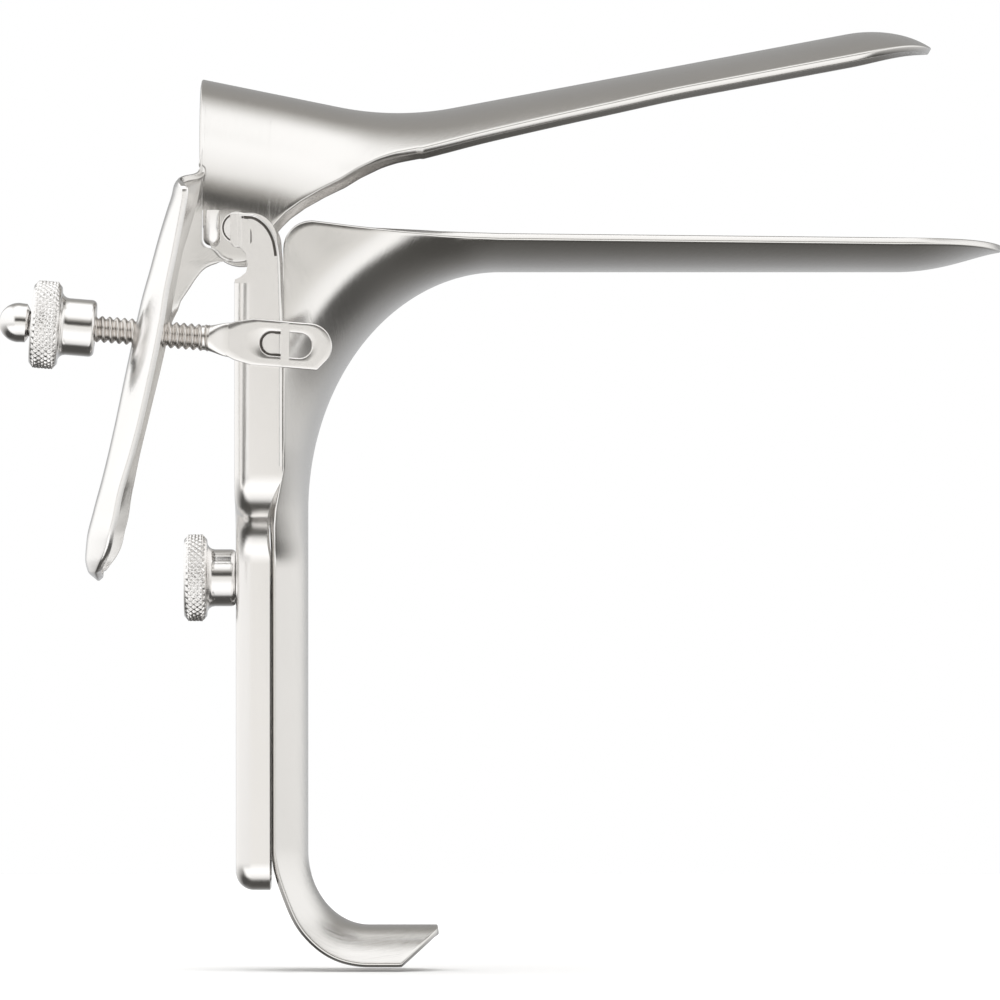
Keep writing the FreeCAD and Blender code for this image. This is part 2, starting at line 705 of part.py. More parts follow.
def yoke():
    """Two arms with inward flanges that run into a channel stem, and a lug."""
    body = new_body("yoke")
    half = size("arm_half_width")
    rear = size("arm_rear_x")
    front = size("arm_front_x")
    stem = size("stem_half_width")
    shoulder = f"-{size('shoulder_top')}"
    neck = f"-{size('stem_top')}"
    bottom = f"-{size('yoke_bottom')}"
    gauge = size("yoke_sheet")
    past = size("overrun")

    block = new_sketch(body, "block", "YZ_Plane", None, ("0", "0", rear))
    middle_y = mix(half, stem, 0.5)
    middle_z = mix(shoulder, neck, 0.5)
    fall = f"({size('stem_top')} - {size('shoulder_top')})"
    bow = ogee_radius(f"({half} - {stem})", fall)
    foot_round = size("foot_round")
    outline(block, [
        (half, size("arm_top")),
        (half, shoulder, bow),
        (middle_y, middle_z, f"-{bow}"),
        (stem, neck),
        (stem, f"{bottom} + {foot_round}", foot_round),
        (f"{stem} - {foot_round}", bottom),
        (f"-({stem} - {foot_round})", bottom, foot_round),
        (f"-{stem}", f"{bottom} + {foot_round}"),
        (f"-{stem}", neck, f"-{bow}"),
        (f"-({middle_y})", middle_z, bow),
        (f"-{half}", shoulder),
        (f"-{half}", size("arm_top"))])
    pad(body, block, f"{front} - {rear}", "formed_block")

    doc.recompute()

    # the sheet is drawn round every rear edge
    edges = []
    for index, edge in enumerate(body.Shape.Edges, start=1):
        box = edge.BoundBox
        at_rear = box.XMax < number(rear) + 0.01
        at_top = box.ZMin > number(size("arm_top")) - 0.01
        if at_rear and not at_top:
            edges.append(f"Edge{index}")
    block_pad = body.Tip
    bend = body.newObject("PartDesign::Fillet", "rear_bends")
    bend.Base = (block_pad, edges)
    bend.setExpression("Radius", size("arm_bend"))
    doc.recompute()

    faces = []
    for index, face in enumerate(body.Shape.Faces, start=1):
        box = face.BoundBox
        if box.XLength < 0.001 and box.XMin > number(front) - 0.01:
            faces.append(f"Face{index}")
        if box.ZLength < 0.001 and box.ZMin > number(size("arm_top")) - 0.01:
            faces.append(f"Face{index}")
    shell = body.newObject("PartDesign::Thickness", "channel")
    shell.Base = (bend, faces)
    shell.Reversed = True
    shell.setExpression("Value", gauge)
    body.Tip = shell
    doc.recompute()

    # viewing aperture between the flanges
    reach = size("flange_reach")
    aperture = new_sketch(body, "aperture", "YZ_Plane", None, ("0", "0", rear))
    open_half = f"({half} - {reach})"
    outline(aperture, [
        (open_half, past),
        (open_half, f"{shoulder} + {size('aperture_foot')}", open_half),
        ("0", f"{shoulder} + {size('aperture_foot')} - 0.7 * {open_half}", open_half),
        (f"-{open_half}", f"{shoulder} + {size('aperture_foot')}"),
        (f"-{open_half}", past)])
    pocket_through(body, aperture, "viewing_aperture")

    # above the notch only the outer part of the bend is left, clear of the ears
    relief = new_sketch(body, "ear_relief", "YZ_Plane", None, ("0", "0", rear))
    inner = f"({half} - {gauge})"
    foot = f"-{size('notch_foot')}"
    outline(relief, [(inner, past), (inner, foot), (f"-{inner}", foot), (f"-{inner}", past)])
    pocket_through(body, relief, "ear_relieving")

    # side outline: arm heads, notch behind the hinge, front edge of the stem
    head = new_sketch(body, "arm_heads", "XZ_Plane")
    top = size("arm_top")
    outline(head, [
        (f"{front} - {size('head_run')}", top, size("head_round")),
        (f"{front} - {size('head_lean')}", f"{top} - {size('head_drop')}"),
        (front, f"{top} - {size('head_length')}"),
        (f"{front} + {past}", f"{top} - {size('head_length')}"),
        (f"{front} + {past}", f"{top} + {past}"),
        (f"{front} - {size('head_run')}", f"{top} + {past}")])
    pocket_through(body, head, "head_rounding")
    notch = new_sketch(body, "notch", "XZ_Plane")
    outline(notch, [
        (f"{rear} - {past}", f"-{size('notch_top')}"),
        (f"{rear} + {size('notch_reach')}", f"-{size('notch_top')}", size("notch_round")),
        (f"{rear} + {size('notch_reach')}", foot),
        (f"{rear} - {past}", foot)])
    pocket_through(body, notch, "notching")
    face = new_sketch(body, "stem_front", "XZ_Plane")
    stem_front = size("stem_front_x")
    outline(face, [
        (front, f"{shoulder} - 1", f"-{size('stem_sweep')}"),
        (stem_front, f"{neck} + 1"),
        (stem_front, f"{bottom} - {past}"),
        (f"{front} + {past}", f"{bottom} - {past}"),
        (f"{front} + {past}", f"{shoulder} - 1")])
    pocket_through(body, face, "stem_fronting")

    # slot for the locking stud
    slot = new_sketch(body, "stud_slot", "YZ_Plane", None, ("0", "0", rear))
    slot_half = f"({size('lock_radius')} + {size('slot_clearance')})"
    slot_top = f"-{size('lock_drop')} + 0.3"
    slot_foot = f"{slot_top} - {size('stud_slot_length')}"
    outline(slot, [
        (slot_half, slot_foot),
        (slot_half, slot_top, f"-{slot_half}"),
        ("0", f"{slot_top} + {slot_half}", f"-{slot_half}"),
        (f"-{slot_half}", slot_top),
        (f"-{slot_half}", slot_foot, f"-{slot_half}"),
        ("0", f"{slot_foot} - {slot_half}", f"-{slot_half}")])
    pocket_through(body, slot, "stud_slotting")

    hole = new_sketch(body, "shank_hole", "XZ_Plane")
    circle(hole, "0", "0", size("shank_radius"))
    pocket_through(body, hole, "shank_boring")

    # T-shaped lug, turned out of the near arm through the link
    lug_z = f"-{size('lug_drop')}"
    lug_back = f"({size('lug_x')} - {size('lug_thickness')} / 2)"
    lug = new_sketch(body, "lug", "YZ_Plane", None, ("0", "0", lug_back))
    neck_half = f"{size('lug_neck')} / 2"
    head_half = f"{size('lug_head')} / 2"
    link_out = f"({half} + {size('running_gap')} + {size('link_thickness')})"
    head_in = f"-({link_out} + {size('running_gap')})"
    head_out = f"{head_in} - {gauge}"
    outline(lug, [
        (f"-({half} - {gauge})", f"{lug_z} + {neck_half}"),
        (head_in, f"{lug_z} + {neck_half}"),
        (head_in, f"{lug_z} + {head_half}"),
        (head_out, f"{lug_z} + {head_half}"),
        (head_out, f"{lug_z} - {head_half}"),
        (head_in, f"{lug_z} - {head_half}"),
        (head_in, f"{lug_z} - {neck_half}"),
        (f"-({half} - {gauge})", f"{lug_z} - {neck_half}")])
    pad(body, lug, size("lug_thickness"), "link_lug")
    return body


def revolved(name, profile, plane, axis):
    """Body turned from a half profile about the first axis of its sketch plane."""
    body = new_body(name)
    sketch = new_sketch(body, f"{name}_profile", plane)
    outline(sketch, profile)
    turned = body.newObject("PartDesign::Revolution", f"{name}_turning")
    turned.Profile = sketch
    turned.ReferenceAxis = (sketch, [axis])
    turned.Angle = 360
    sketch.Visibility = False
    return body


def hinge_stud(name, side):
    """Shouldered stud: shank in the arm, shoulder in the ear, head inside it."""
    arm_out = size("arm_half_width")
    arm_in = f"({arm_out} - {size('yoke_sheet')})"
    ear_in = f"({size('collar_half_width')} - {size('sheet')} - {size('running_gap')})"
    head_in = f"({ear_in} - {size('stud_head')})"
    shank = size("shank_radius")
    shoulder = size("pivot_radius")
    head = f"({shoulder} + {size('head_lip')})"
    profile = [("0", arm_out), (shank, arm_out), (shank, arm_in), (shoulder, arm_in),
               (shoulder, ear_in), (head, ear_in), (head, head_in), ("0", head_in)]
    if side < 0:
        profile = [(x, f"-{y}") for x, y in profile]
    return revolved(name, profile, "XY_Plane", "V_Axis")


def locking_stud():
    """Threaded stud riveted through the handle, pointing to the rear."""
    front = f"({size('throat_x')} - {size('throat_run')})"
    shank = size("lock_radius")
    head = size("lock_head_radius")
    inner_radius = f"({trough_radius(size('handle_half_width'), size('handle_depth'))} - {size('sheet')})"
    seat = (f"({front} - {size('sheet')} - "
            f"({inner_radius} - sqrt({inner_radius}^2 - {head}^2)))")
    end = f"({size('arm_rear_x')} - {size('lock_nut_length')} + 0.6)"
    profile = [(f"{front} - 0.15", "0"), (f"{front} - 0.15", shank), (seat, shank), (seat, head),
               (f"{seat} - {size('lock_head_height')}", head),
               (f"{seat} - {size('lock_head_height')}", shank),
               (f"{end} + 0.4", shank), (end, f"{shank} - 0.4"), (end, "0")]
    body = revolved("locking_stud", profile, "XZ_Plane", "H_Axis")
    body.setExpression("Placement.Base.z", f"-{size('lock_drop')}")
    return body


def locking_nut():
    """Knurled nut with a hub that bears on the back of the stem."""
    bore = f"({size('lock_radius')} + {size('thread_clearance')})"
    rim = size("lock_rim_radius")
    hub = size("lock_hub_radius")
    face = f"({size('arm_rear_x')} - 0.05)"
    back = f"({face} - {size('lock_nut_length')})"
    step = f"({back} + {size('lock_rim_width')})"
    profile = nut_profile(back, step, face, bore, rim, hub)
    body = revolved("locking_nut", profile, "XZ_Plane", "H_Axis")
    body.setExpression("Placement.Base.z", f"-{size('lock_drop')}")
    return body


def nut_profile(back, step, face, bore, rim, hub):
    """Half profile of a wheel from back to step with a waisted hub up to face."""
    bevel = size("rim_bevel")
    fillet = size("hub_fillet")
    edge = size("hub_round")
    return [(back, bore), (back, f"{rim} - {bevel}"), (f"{back} + {bevel}", rim),
            (f"{step} - {bevel}", rim), (step, f"{rim} - {bevel}"),
            (step, f"{hub} + {fillet}", f"-{fillet}"), (f"{step} + {fillet}", hub),
            (f"{face} - {edge}", hub, edge), (face, f"{hub} - {edge}"), (face, bore)]


def place_on_rod(body):
    """Rod pieces are drawn along the rod, whose origin is the pivot on the lug."""
    rod_y = (f"-({size('arm_half_width')} + {size('running_gap')} "
             f"+ {size('link_thickness')} / 2)")
    body.Placement = Placement(Vector(), Rotation(Vector(0, 1, 0), 1))
    body.setExpression("Placement.Base.x", size("lug_x"))
    body.setExpression("Placement.Base.y", rod_y)
    body.setExpression("Placement.Base.z", f"-{size('lug_drop')}")
    body.setExpression("Placement.Rotation.Angle", size("rod_angle"))
    return body


def adjusting_rod():
    """Threaded rod whose end is forged flat into a slotted link."""
    body = new_body("adjusting_rod")
    radius = size("rod_radius")
    half = size("link_half_height")
    nose = size("link_nose")
    flat_x = f"(-{size('link_length')} - 0.8 + {size('neck_length')})"
    corner = size("link_corner")
    flare = size("link_flare")
    bow = f"-{size('link_flare_round')}"
    link = new_sketch(body, "link", "XZ_Plane")
    outline(link, [
        (flat_x, f"{radius} + 0.4", bow),
        (f"{flat_x} + {flare}", half),
        (f"{nose} - {corner}", half, corner),
        (nose, f"{half} - {corner}"),
        (nose, f"-{half} + {corner}", corner),
        (f"{nose} - {corner} / 2", f"-{half} + {size('link_bevel_rise')} * 0.6"),
        (f"{nose} - {size('link_bevel_run')}", f"-{half}"),
        (f"{flat_x} + {flare}", f"-{half}", bow),
        (flat_x, f"-({radius} + 0.4)")])
    pad(body, link, size("link_thickness"), "flat_link", True)
    slot = new_sketch(body, "link_slot", "XZ_Plane")
    slot_half = f"{size('link_slot_height')} / 2"
    slot_back = f"-{size('link_slot_rear')} + {slot_half}"
    slot_front = f"{size('link_slot_front')} - {slot_half}"
    outline(slot, [
        (slot_back, slot_half),
        (slot_front, slot_half, slot_half),
        (size("link_slot_front"), "0", slot_half),
        (slot_front, f"-({slot_half})"),
        (slot_back, f"-({slot_half})", slot_half),
        (f"-{size('link_slot_rear')}", "0", slot_half)])
    pocket_through(body, slot, "link_slotting")

    # the round rod is squeezed flat over a short neck
    round_x = f"-{size('link_length')} - 0.8"
    diagonal = f"{radius} * sqrt(0.5)"
    neck_round = new_sketch(body, "neck_round", "YZ_Plane", None, ("0", "0", round_x))
    outline(neck_round, [
        (diagonal, diagonal, f"-{radius}"),
        (f"-{diagonal}", diagonal, f"-{radius}"),
        (f"-{diagonal}", f"-{diagonal}", f"-{radius}"),
        (diagonal, f"-{diagonal}", f"-{radius}")])
    neck_flat = new_sketch(body, "neck_flat", "YZ_Plane", None, ("0", "0", flat_x))
    thin = f"{size('link_thickness')} / 2"
    tall = f"({radius} + 0.4)"
    outline(neck_flat, [(thin, tall), (f"-{thin}", tall), (f"-{thin}", f"-{tall}"),
                        (thin, f"-{tall}")])
    neck = loft(body, [neck_round, neck_flat], "neck")
    neck.Ruled = True
    shaft = new_sketch(body, "shaft", "YZ_Plane", None, ("0", "0", f"-{size('rod_end')}"))
    circle(shaft, "0", "0", radius)
    pad(body, shaft, f"{size('rod_end')} - {size('link_length')} - 0.8", "threaded_shaft")
    return place_on_rod(body)


def rod_end_stop():
    """Domed cap pressed on the end of the rod, so that the nut can't come off."""
    rear = f"-{size('stop_rear')}"
    tip = f"({rear} - {size('stop_length')})"
    radius = size("stop_radius")
    bore = size("rod_radius")
    profile = [(f"-{size('rod_end')}", "0"), (f"-{size('rod_end')}", bore), (rear, bore),
               (rear, f"{radius} - 0.5"), (f"{rear} - 0.5", radius),
               (f"{rear} - 1.1", radius, f"-{radius}"), (tip, "0")]
    return place_on_rod(revolved("rod_end_stop", profile, "XZ_Plane", "H_Axis"))


def adjusting_nut():
    """Knurled nut on the rod, hub towards the lever."""
    bore = f"({size('rod_radius')} + {size('thread_clearance')})"
    back = f"(-{size('nut_rear')})"
    step = f"({back} + {size('nut_rim_width')})"
    face = f"({back} + {size('nut_length')})"
    profile = nut_profile(back, step, face, bore, size("nut_rim_radius"), size("nut_hub_radius"))
    return place_on_rod(revolved("adjusting_nut", profile, "XZ_Plane", "H_Axis"))


def check(bodies):
    """Stop with a plain message if anything failed to compute."""
    for item in doc.Objects:
        if "Invalid" in item.State or "Error" in item.State:
            raise RuntimeError(f"{item.Name} failed: {item.getStatusString()}")
    for body in bodies:
        shape = body.Shape
        if shape.isNull() or not shape.isValid() or len(shape.Solids) != 1:
            raise RuntimeError(f"{body.Label} is not one valid solid")


bodies = [
    lower_blade(),
    locking_stud(),
    upper_blade(),
    yoke(),
    hinge_stud("hinge_stud_near", -1),
    hinge_stud("hinge_stud_far", 1),
    adjusting_rod(),
    rod_end_stop(),
    adjusting_nut(),
    locking_nut(),
]
doc.recompute()
check(bodies)
os.makedirs("parts", exist_ok=True)
for body in bodies:
    body.Shape.exportStep(f"parts/{body.Label}.step")
    print(body.Label, round(body.Shape.Volume, 1), len(body.Shape.Faces))
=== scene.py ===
"""Bivalve speculum in satin stainless steel, in a plain white studio.

Lengths in this file are in millimetres in the frame of the part: the origin is on the
hinge axis, +X runs to the blade tips, +Z is up and -Y is the side of the thumb lever.
"""
import math

import bmesh
import bpy
import numpy as np
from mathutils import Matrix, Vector


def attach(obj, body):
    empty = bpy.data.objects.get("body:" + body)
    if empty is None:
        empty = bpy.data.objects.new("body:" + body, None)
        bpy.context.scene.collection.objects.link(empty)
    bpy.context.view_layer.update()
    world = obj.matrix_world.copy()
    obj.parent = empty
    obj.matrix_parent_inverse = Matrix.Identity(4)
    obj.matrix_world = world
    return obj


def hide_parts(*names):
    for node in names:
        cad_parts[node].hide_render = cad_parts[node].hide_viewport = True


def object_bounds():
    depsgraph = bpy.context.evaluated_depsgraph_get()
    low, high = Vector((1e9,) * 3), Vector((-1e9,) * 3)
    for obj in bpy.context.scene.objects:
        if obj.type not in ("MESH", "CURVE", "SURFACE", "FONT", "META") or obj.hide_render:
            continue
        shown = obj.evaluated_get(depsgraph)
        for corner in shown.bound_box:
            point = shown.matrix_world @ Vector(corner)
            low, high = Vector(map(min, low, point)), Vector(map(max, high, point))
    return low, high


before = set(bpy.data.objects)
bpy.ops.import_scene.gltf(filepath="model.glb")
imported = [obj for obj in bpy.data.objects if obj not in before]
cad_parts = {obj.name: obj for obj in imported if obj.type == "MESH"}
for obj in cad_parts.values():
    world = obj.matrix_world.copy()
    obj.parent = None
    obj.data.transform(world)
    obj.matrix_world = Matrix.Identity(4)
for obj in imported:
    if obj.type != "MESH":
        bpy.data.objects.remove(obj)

SOLID_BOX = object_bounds()
MM = 0.001
SHEET = 1.1

# lower blade and handle
DROP = 6.0
BLADE_HALF = 15.5
THROAT_X = 37.5
THROAT_RUN = 27.6
THROAT_HEIGHT = 34.3
LOWER_TIP = 109.4
LOWER_SPOON = 15.0
LOWER_DEPTH = 3.7
LOWER_DIP = 0.9
FRONT_X = THROAT_X - THROAT_RUN
FOOT_Z = -DROP - THROAT_HEIGHT
HANDLE_LENGTH = 48.9
HOOK_RUN = 8.8
HOOK_DROP = 10.7
HOOK_REACH = 9.6
HOOK_HALF = 8.5
HOOK_DEPTH = 5.3
HANDLE_DEPTH = 4.5

# upper blade
COLLAR_RADIUS = 19.6
SADDLE = np.array([22.5, 16.1])
SADDLE_RADIUS = 43.0
COLLAR_FALL = math.radians(11.5)
BLADE_RISE = math.radians(10.6)
UPPER_LENGTH = 77.5
UPPER_SPOON = 11.5
UPPER_DEPTH = 3.4
EAR_LOBE = 4.7
TIP_STOP = 0.996

# screws
LUG = np.array([6.9, -21.9, -16.65])
ROD_TURN = math.radians(4.7)
LOCK_Z = -50.0
PITCH = 1.06
WHEEL_RADIUS = 6.25
LINK_HALF = 0.6


# curves and grids

def through(knots, values, at):
    """Cubic curve through the values at the knots that never overshoots them.

    Each slope is the harmonic mean of the slopes on both sides, or nought at a turn.
    """
    knots = np.asarray(knots, float)
    values = np.asarray(values, float)
    gap = np.diff(knots)
    rise = np.diff(values) / gap
    slope = np.empty_like(values)
    same = rise[:-1] * rise[1:] > 0
    total = np.where(same, rise[:-1] + rise[1:], 1.0)
    slope[1:-1] = np.where(same, 2 * rise[:-1] * rise[1:] / total, 0.0)
    slope[0], slope[-1] = rise[0], rise[-1]
    at = np.clip(at, knots[0], knots[-1])
    k = np.clip(np.searchsorted(knots, at, side="right") - 1, 0, len(gap) - 1)
    t = (at - knots[k]) / gap[k]
    return ((1 + 2 * t) * (1 - t) ** 2 * values[k] + t * (1 - t) ** 2 * gap[k] * slope[k]
            + t * t * (3 - 2 * t) * values[k + 1] + t * t * (t - 1) * gap[k] * slope[k + 1])


def ease(low, high, at):
    """Smooth step: nought below low, one above high, and 3t^2 - 2t^3 between."""
    t = np.clip((at - low) / (high - low), 0, 1)
    return t * t * (3 - 2 * t)


def crowded(count, power):
    """Count values from 0 to 1 that crowd towards 0 as a power."""
    return np.linspace(0, 1, count) ** power


def reach_to(outline, origin, way):
    """Distance from each origin along its way to the nearest side of the outline.

    A side from a to b is met at t where origin + t way = a + s (b - a), 0 <= s <= 1.
    """
    a = outline[None, :-1]
    side = outline[None, 1:] - a
    to_a = a - origin[:, None]
    way = way[:, None]
    cross = way[..., 0] * side[..., 1] - way[..., 1] * side[..., 0]
    cross = np.where(np.abs(cross) < 1e-9, 1e-9, cross)
    t = (to_a[..., 0] * side[..., 1] - to_a[..., 1] * side[..., 0]) / cross
    s = (to_a[..., 0] * way[..., 1] - to_a[..., 1] * way[..., 0]) / cross
    met = (t > 0) & (s >= 0) & (s <= 1)
    return np.where(met, t, 1e6).min(axis=1)


def arc_points(centre, radius, start, end, count):
    """Points round a centre from one angle to another, in degrees."""
    angle = np.radians(np.linspace(start, end, count))
    return np.stack([centre[0] + radius * np.cos(angle), centre[1] + radius * np.sin(angle)], 1)


def trough(crown, way, radius, reach, across, half=None, deep=None, square=None):
    """Sheet that is round across and follows a crown line in the plane of symmetry.

    At each station the section starts at the crown, follows a circle of the given
    radius for up to a quarter turn on each side, and then runs straight, until it
    stands reach above the crown. across runs from -1 to 1 in equal steps of length.
    Where square is above nought, the circle gives way to a quarter ellipse of the
    given half width and depth.
    """
    radius = radius[:, None]
    reach = reach[:, None]
    turn = np.arccos(np.clip(1 - reach / radius, 0, 1))
    leg = np.maximum(reach - radius, 0)
    along = np.abs(across)[None] * (radius * turn + leg)
    angle = np.minimum(along / radius, turn)
    rest = along - angle * radius
    height = radius * (1 - np.cos(angle)) + rest
    side = radius * np.sin(angle)
    if square is not None:
        half, deep, square = half[:, None], deep[:, None], square[:, None]
        turn = np.arccos(np.clip(1 - reach / deep, 0, 1))
        leg = np.maximum(reach - deep, 0)
        mean = (half + deep) / 2
        along = np.abs(across)[None] * (mean * turn + leg)
        angle = np.minimum(along / mean, turn)
        other = deep * (1 - np.cos(angle)) + along - angle * mean
        height = height * (1 - square) + other * square
        side = side * (1 - square) + half * np.sin(angle) * square
    side = side * np.sign(across)[None]
    x = crown[:, :1] + way[:, :1] * height
    z = crown[:, 1:] + way[:, 1:] * height
    return np.stack([x, side, z], axis=-1)


def normals_of(grid):
    """Unit normals of a grid: the cross product of its two directions."""
    first = np.gradient(grid, axis=0)
    second = np.gradient(grid, axis=1)
    normal = np.cross(first, second)
    length = np.linalg.norm(normal, axis=-1, keepdims=True)
    return normal / np.maximum(length, 1e-12)


# meshes

def strip_faces(rows, columns, close_rows=False, close_columns=False):
    """Corner numbers of the quads of a grid, as an array of four columns."""
    number = np.arange(rows * columns).reshape(rows, columns)
    if close_rows:
        number = np.vstack([number, number[:1]])
    if close_columns:
        number = np.hstack([number, number[:, :1]])
    return np.stack([number[:-1, :-1], number[1:, :-1], number[1:, 1:], number[:-1, 1:]],
                    axis=-1).reshape(-1, 4)


def walled(outer, gauge, edge=0.25, soften=None):
    """Closed sheet under an outer surface, as corners, quads and grain.

    The inner surface lies gauge away against the normal. Round the rim run two
    quarter rounds of radius edge with a flat between them. soften gives the share of
    the rounding that each place on the rim gets.
    """
    rows, columns = outer.shape[:2]
    normal = normals_of(outer)
    inner = outer - normal * gauge
    number = np.arange(rows * columns).reshape(rows, columns)
    rim = np.concatenate([number[0, :-1], number[:-1, -1], number[-1, :0:-1], number[:0:-1, 0]])
    flat = outer.reshape(-1, 3)
    edge_normal = normal.reshape(-1, 3)[rim]
    place = flat[rim]
    step = np.roll(place, -1, axis=0) - np.roll(place, 1, axis=0)
    away = np.cross(step, edge_normal)
    away /= np.maximum(np.linalg.norm(away, axis=1, keepdims=True), 1e-12)
    inner_row = np.clip(rim // columns, 1, rows - 2)
    inner_column = np.clip(rim % columns, 1, columns - 2)
    inward = flat[inner_row * columns + inner_column] - place
    if soften is not None:
        edge = edge * soften(place)[:, None]
    away *= np.where((away * inward).sum(axis=1, keepdims=True) > 0, -1.0, 1.0)
    loops = []
    for angle in np.radians([30, 60, 90]):
        loops.append(place - edge_normal * edge * (1 - math.cos(angle)) + away * edge * math.sin(angle))
    for angle in np.radians([90, 60, 30]):
        loops.append(place - edge_normal * (gauge - edge * (1 - math.cos(angle)))
                     + away * edge * math.sin(angle))
    corners = np.concatenate([flat, inner.reshape(-1, 3), *loops])
    total = rows * columns
    around = len(rim)
    rings = [rim] + [2 * total + k * around + np.arange(around) for k in range(6)] + [rim + total]
    faces = [strip_faces(rows, columns), strip_faces(rows, columns)[:, ::-1] + total]
    for first, second in zip(rings[:-1], rings[1:]):
        faces.append(np.stack([first, np.roll(first, -1), np.roll(second, -1), second], axis=-1))
    along = np.zeros((rows, columns))
    along[1:] = np.cumsum(np.linalg.norm(np.diff(outer, axis=0), axis=2), axis=0)
    across = np.zeros((rows, columns))
    across[:, 1:] = np.cumsum(np.linalg.norm(np.diff(outer, axis=1), axis=2), axis=1)
    grain = np.stack([along, across, np.zeros((rows, columns))], -1).reshape(-1, 3)
    under = grain + np.array([0, 0, 40.0])
    grain = np.concatenate([grain, under] + [grain[rim]] * 6)
    return corners, np.concatenate(faces), grain


def piece(name, corners, faces, finish, body, replaces=(), grain=None, sharp=None):
    """Mesh object from corners in millimetres, closed up, smooth and set on its body."""
    mesh = bpy.data.meshes.new(name)
    mesh.from_pydata((np.asarray(corners) * MM).tolist(), [], np.asarray(faces).tolist())
    if grain is not None:
        layer = mesh.attributes.new("grain", "FLOAT_VECTOR", "POINT")
        layer.data.foreach_set("vector", np.asarray(grain, np.float32).ravel())
    work = bmesh.new()
    work.from_mesh(mesh)
    bmesh.ops.remove_doubles(work, verts=work.verts, dist=1e-7)
    bmesh.ops.recalc_face_normals(work, faces=work.faces)
    if sharp is not None:
        for side in work.edges:
            side.smooth = len(side.link_faces) == 2 and side.calc_face_angle(0) < sharp
    work.to_mesh(mesh)
    work.free()
    mesh.polygons.foreach_set("use_smooth", np.ones(len(mesh.polygons), bool))
    return on_body(name, mesh, finish, body, replaces)


def on_body(name, mesh, finish, body, replaces=()):
    """Object from a finished mesh, with its material, on the body that it moves with."""
    mesh.materials.append(finish)
    thing = bpy.data.objects.new(name, mesh)
    bpy.context.scene.collection.objects.link(thing)
    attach(thing, body)
    if replaces:
        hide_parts(*replaces)
    return thing


def turned(profile, angles):
    """Profile of (along, radius) pairs carried round the X axis through every angle."""
    profile = np.asarray(profile, float)
    along = np.broadcast_to(profile[None, :, 0], (len(angles), len(profile)))
    radius = profile[None, :, 1]
    return np.stack([along, radius * np.cos(angles)[:, None], radius * np.sin(angles)[:, None]], -1)


def rounded(profile, radii, steps=5):
    """Profile whose corners are replaced by arcs that touch both sides."""
    profile = np.asarray(profile, float)
    made = []
    for index, corner in enumerate(profile):
        radius = radii[index]
        if radius <= 0:
            made.append(corner[None])
            continue
        back = profile[index - 1] - corner
        ahead = profile[(index + 1) % len(profile)] - corner
        back /= np.linalg.norm(back)
        ahead /= np.linalg.norm(ahead)
        half = math.acos(np.clip(back @ ahead, -1, 1)) / 2
        centre = corner + (back + ahead) / np.linalg.norm(back + ahead) * radius / math.sin(half)
        first = corner + back * radius / math.tan(half) - centre
        last = corner + ahead * radius / math.tan(half) - centre
        share = np.linspace(0, 1, steps)[:, None]
        sweep = math.pi - 2 * half
        made.append(centre + (np.sin((1 - share) * sweep) * first + np.sin(share * sweep) * last)
                    / math.sin(sweep))
    return np.concatenate(made)


def divided(profile, longest):
    """Closed profile with every side split into equal parts no longer than longest."""
    ends = np.vstack([profile, profile[:1]])
    made = []
    for first, last in zip(ends[:-1], ends[1:]):
        parts = max(1, int(math.ceil(np.linalg.norm(last - first) / longest)))
        share = np.arange(parts)[:, None] / parts
        made.append(first + (last - first) * share)
    return np.concatenate(made)


def on_rod(points):
    """Turn and shift points from the rod's own axis to the frame."""
    x, y, z = np.moveaxis(np.asarray(points, float), -1, 0)
    c, s = math.cos(ROD_TURN), math.sin(ROD_TURN)
    return np.stack([x * c + z * s, y, z * c - x * s], -1) + LUG


# materials

class Wire:
    """A number or colour that comes out of a node, with the operators of a formula."""

    def __init__(self, tree, socket):
        self.tree = tree
        self.socket = socket

    def _math(self, operation, first, second):
        node = self.tree.nodes.new("ShaderNodeMath")
        node.operation = operation
        for slot, value in zip(node.inputs, (first, second)):
            if isinstance(value, Wire):
                self.tree.links.new(value.socket, slot)
            else:
                slot.default_value = value
        return Wire(self.tree, node.outputs[0])

    def __add__(self, other):
        return self._math("ADD", self, other)

    def __radd__(self, other):
        return self._math("ADD", other, self)

    def __sub__(self, other):
        return self._math("SUBTRACT", self, other)

    def __rsub__(self, other):
        return self._math("SUBTRACT", other, self)

    def __mul__(self, other):
        return self._math("MULTIPLY", self, other)

    def __rmul__(self, other):
        return self._math("MULTIPLY", other, self)


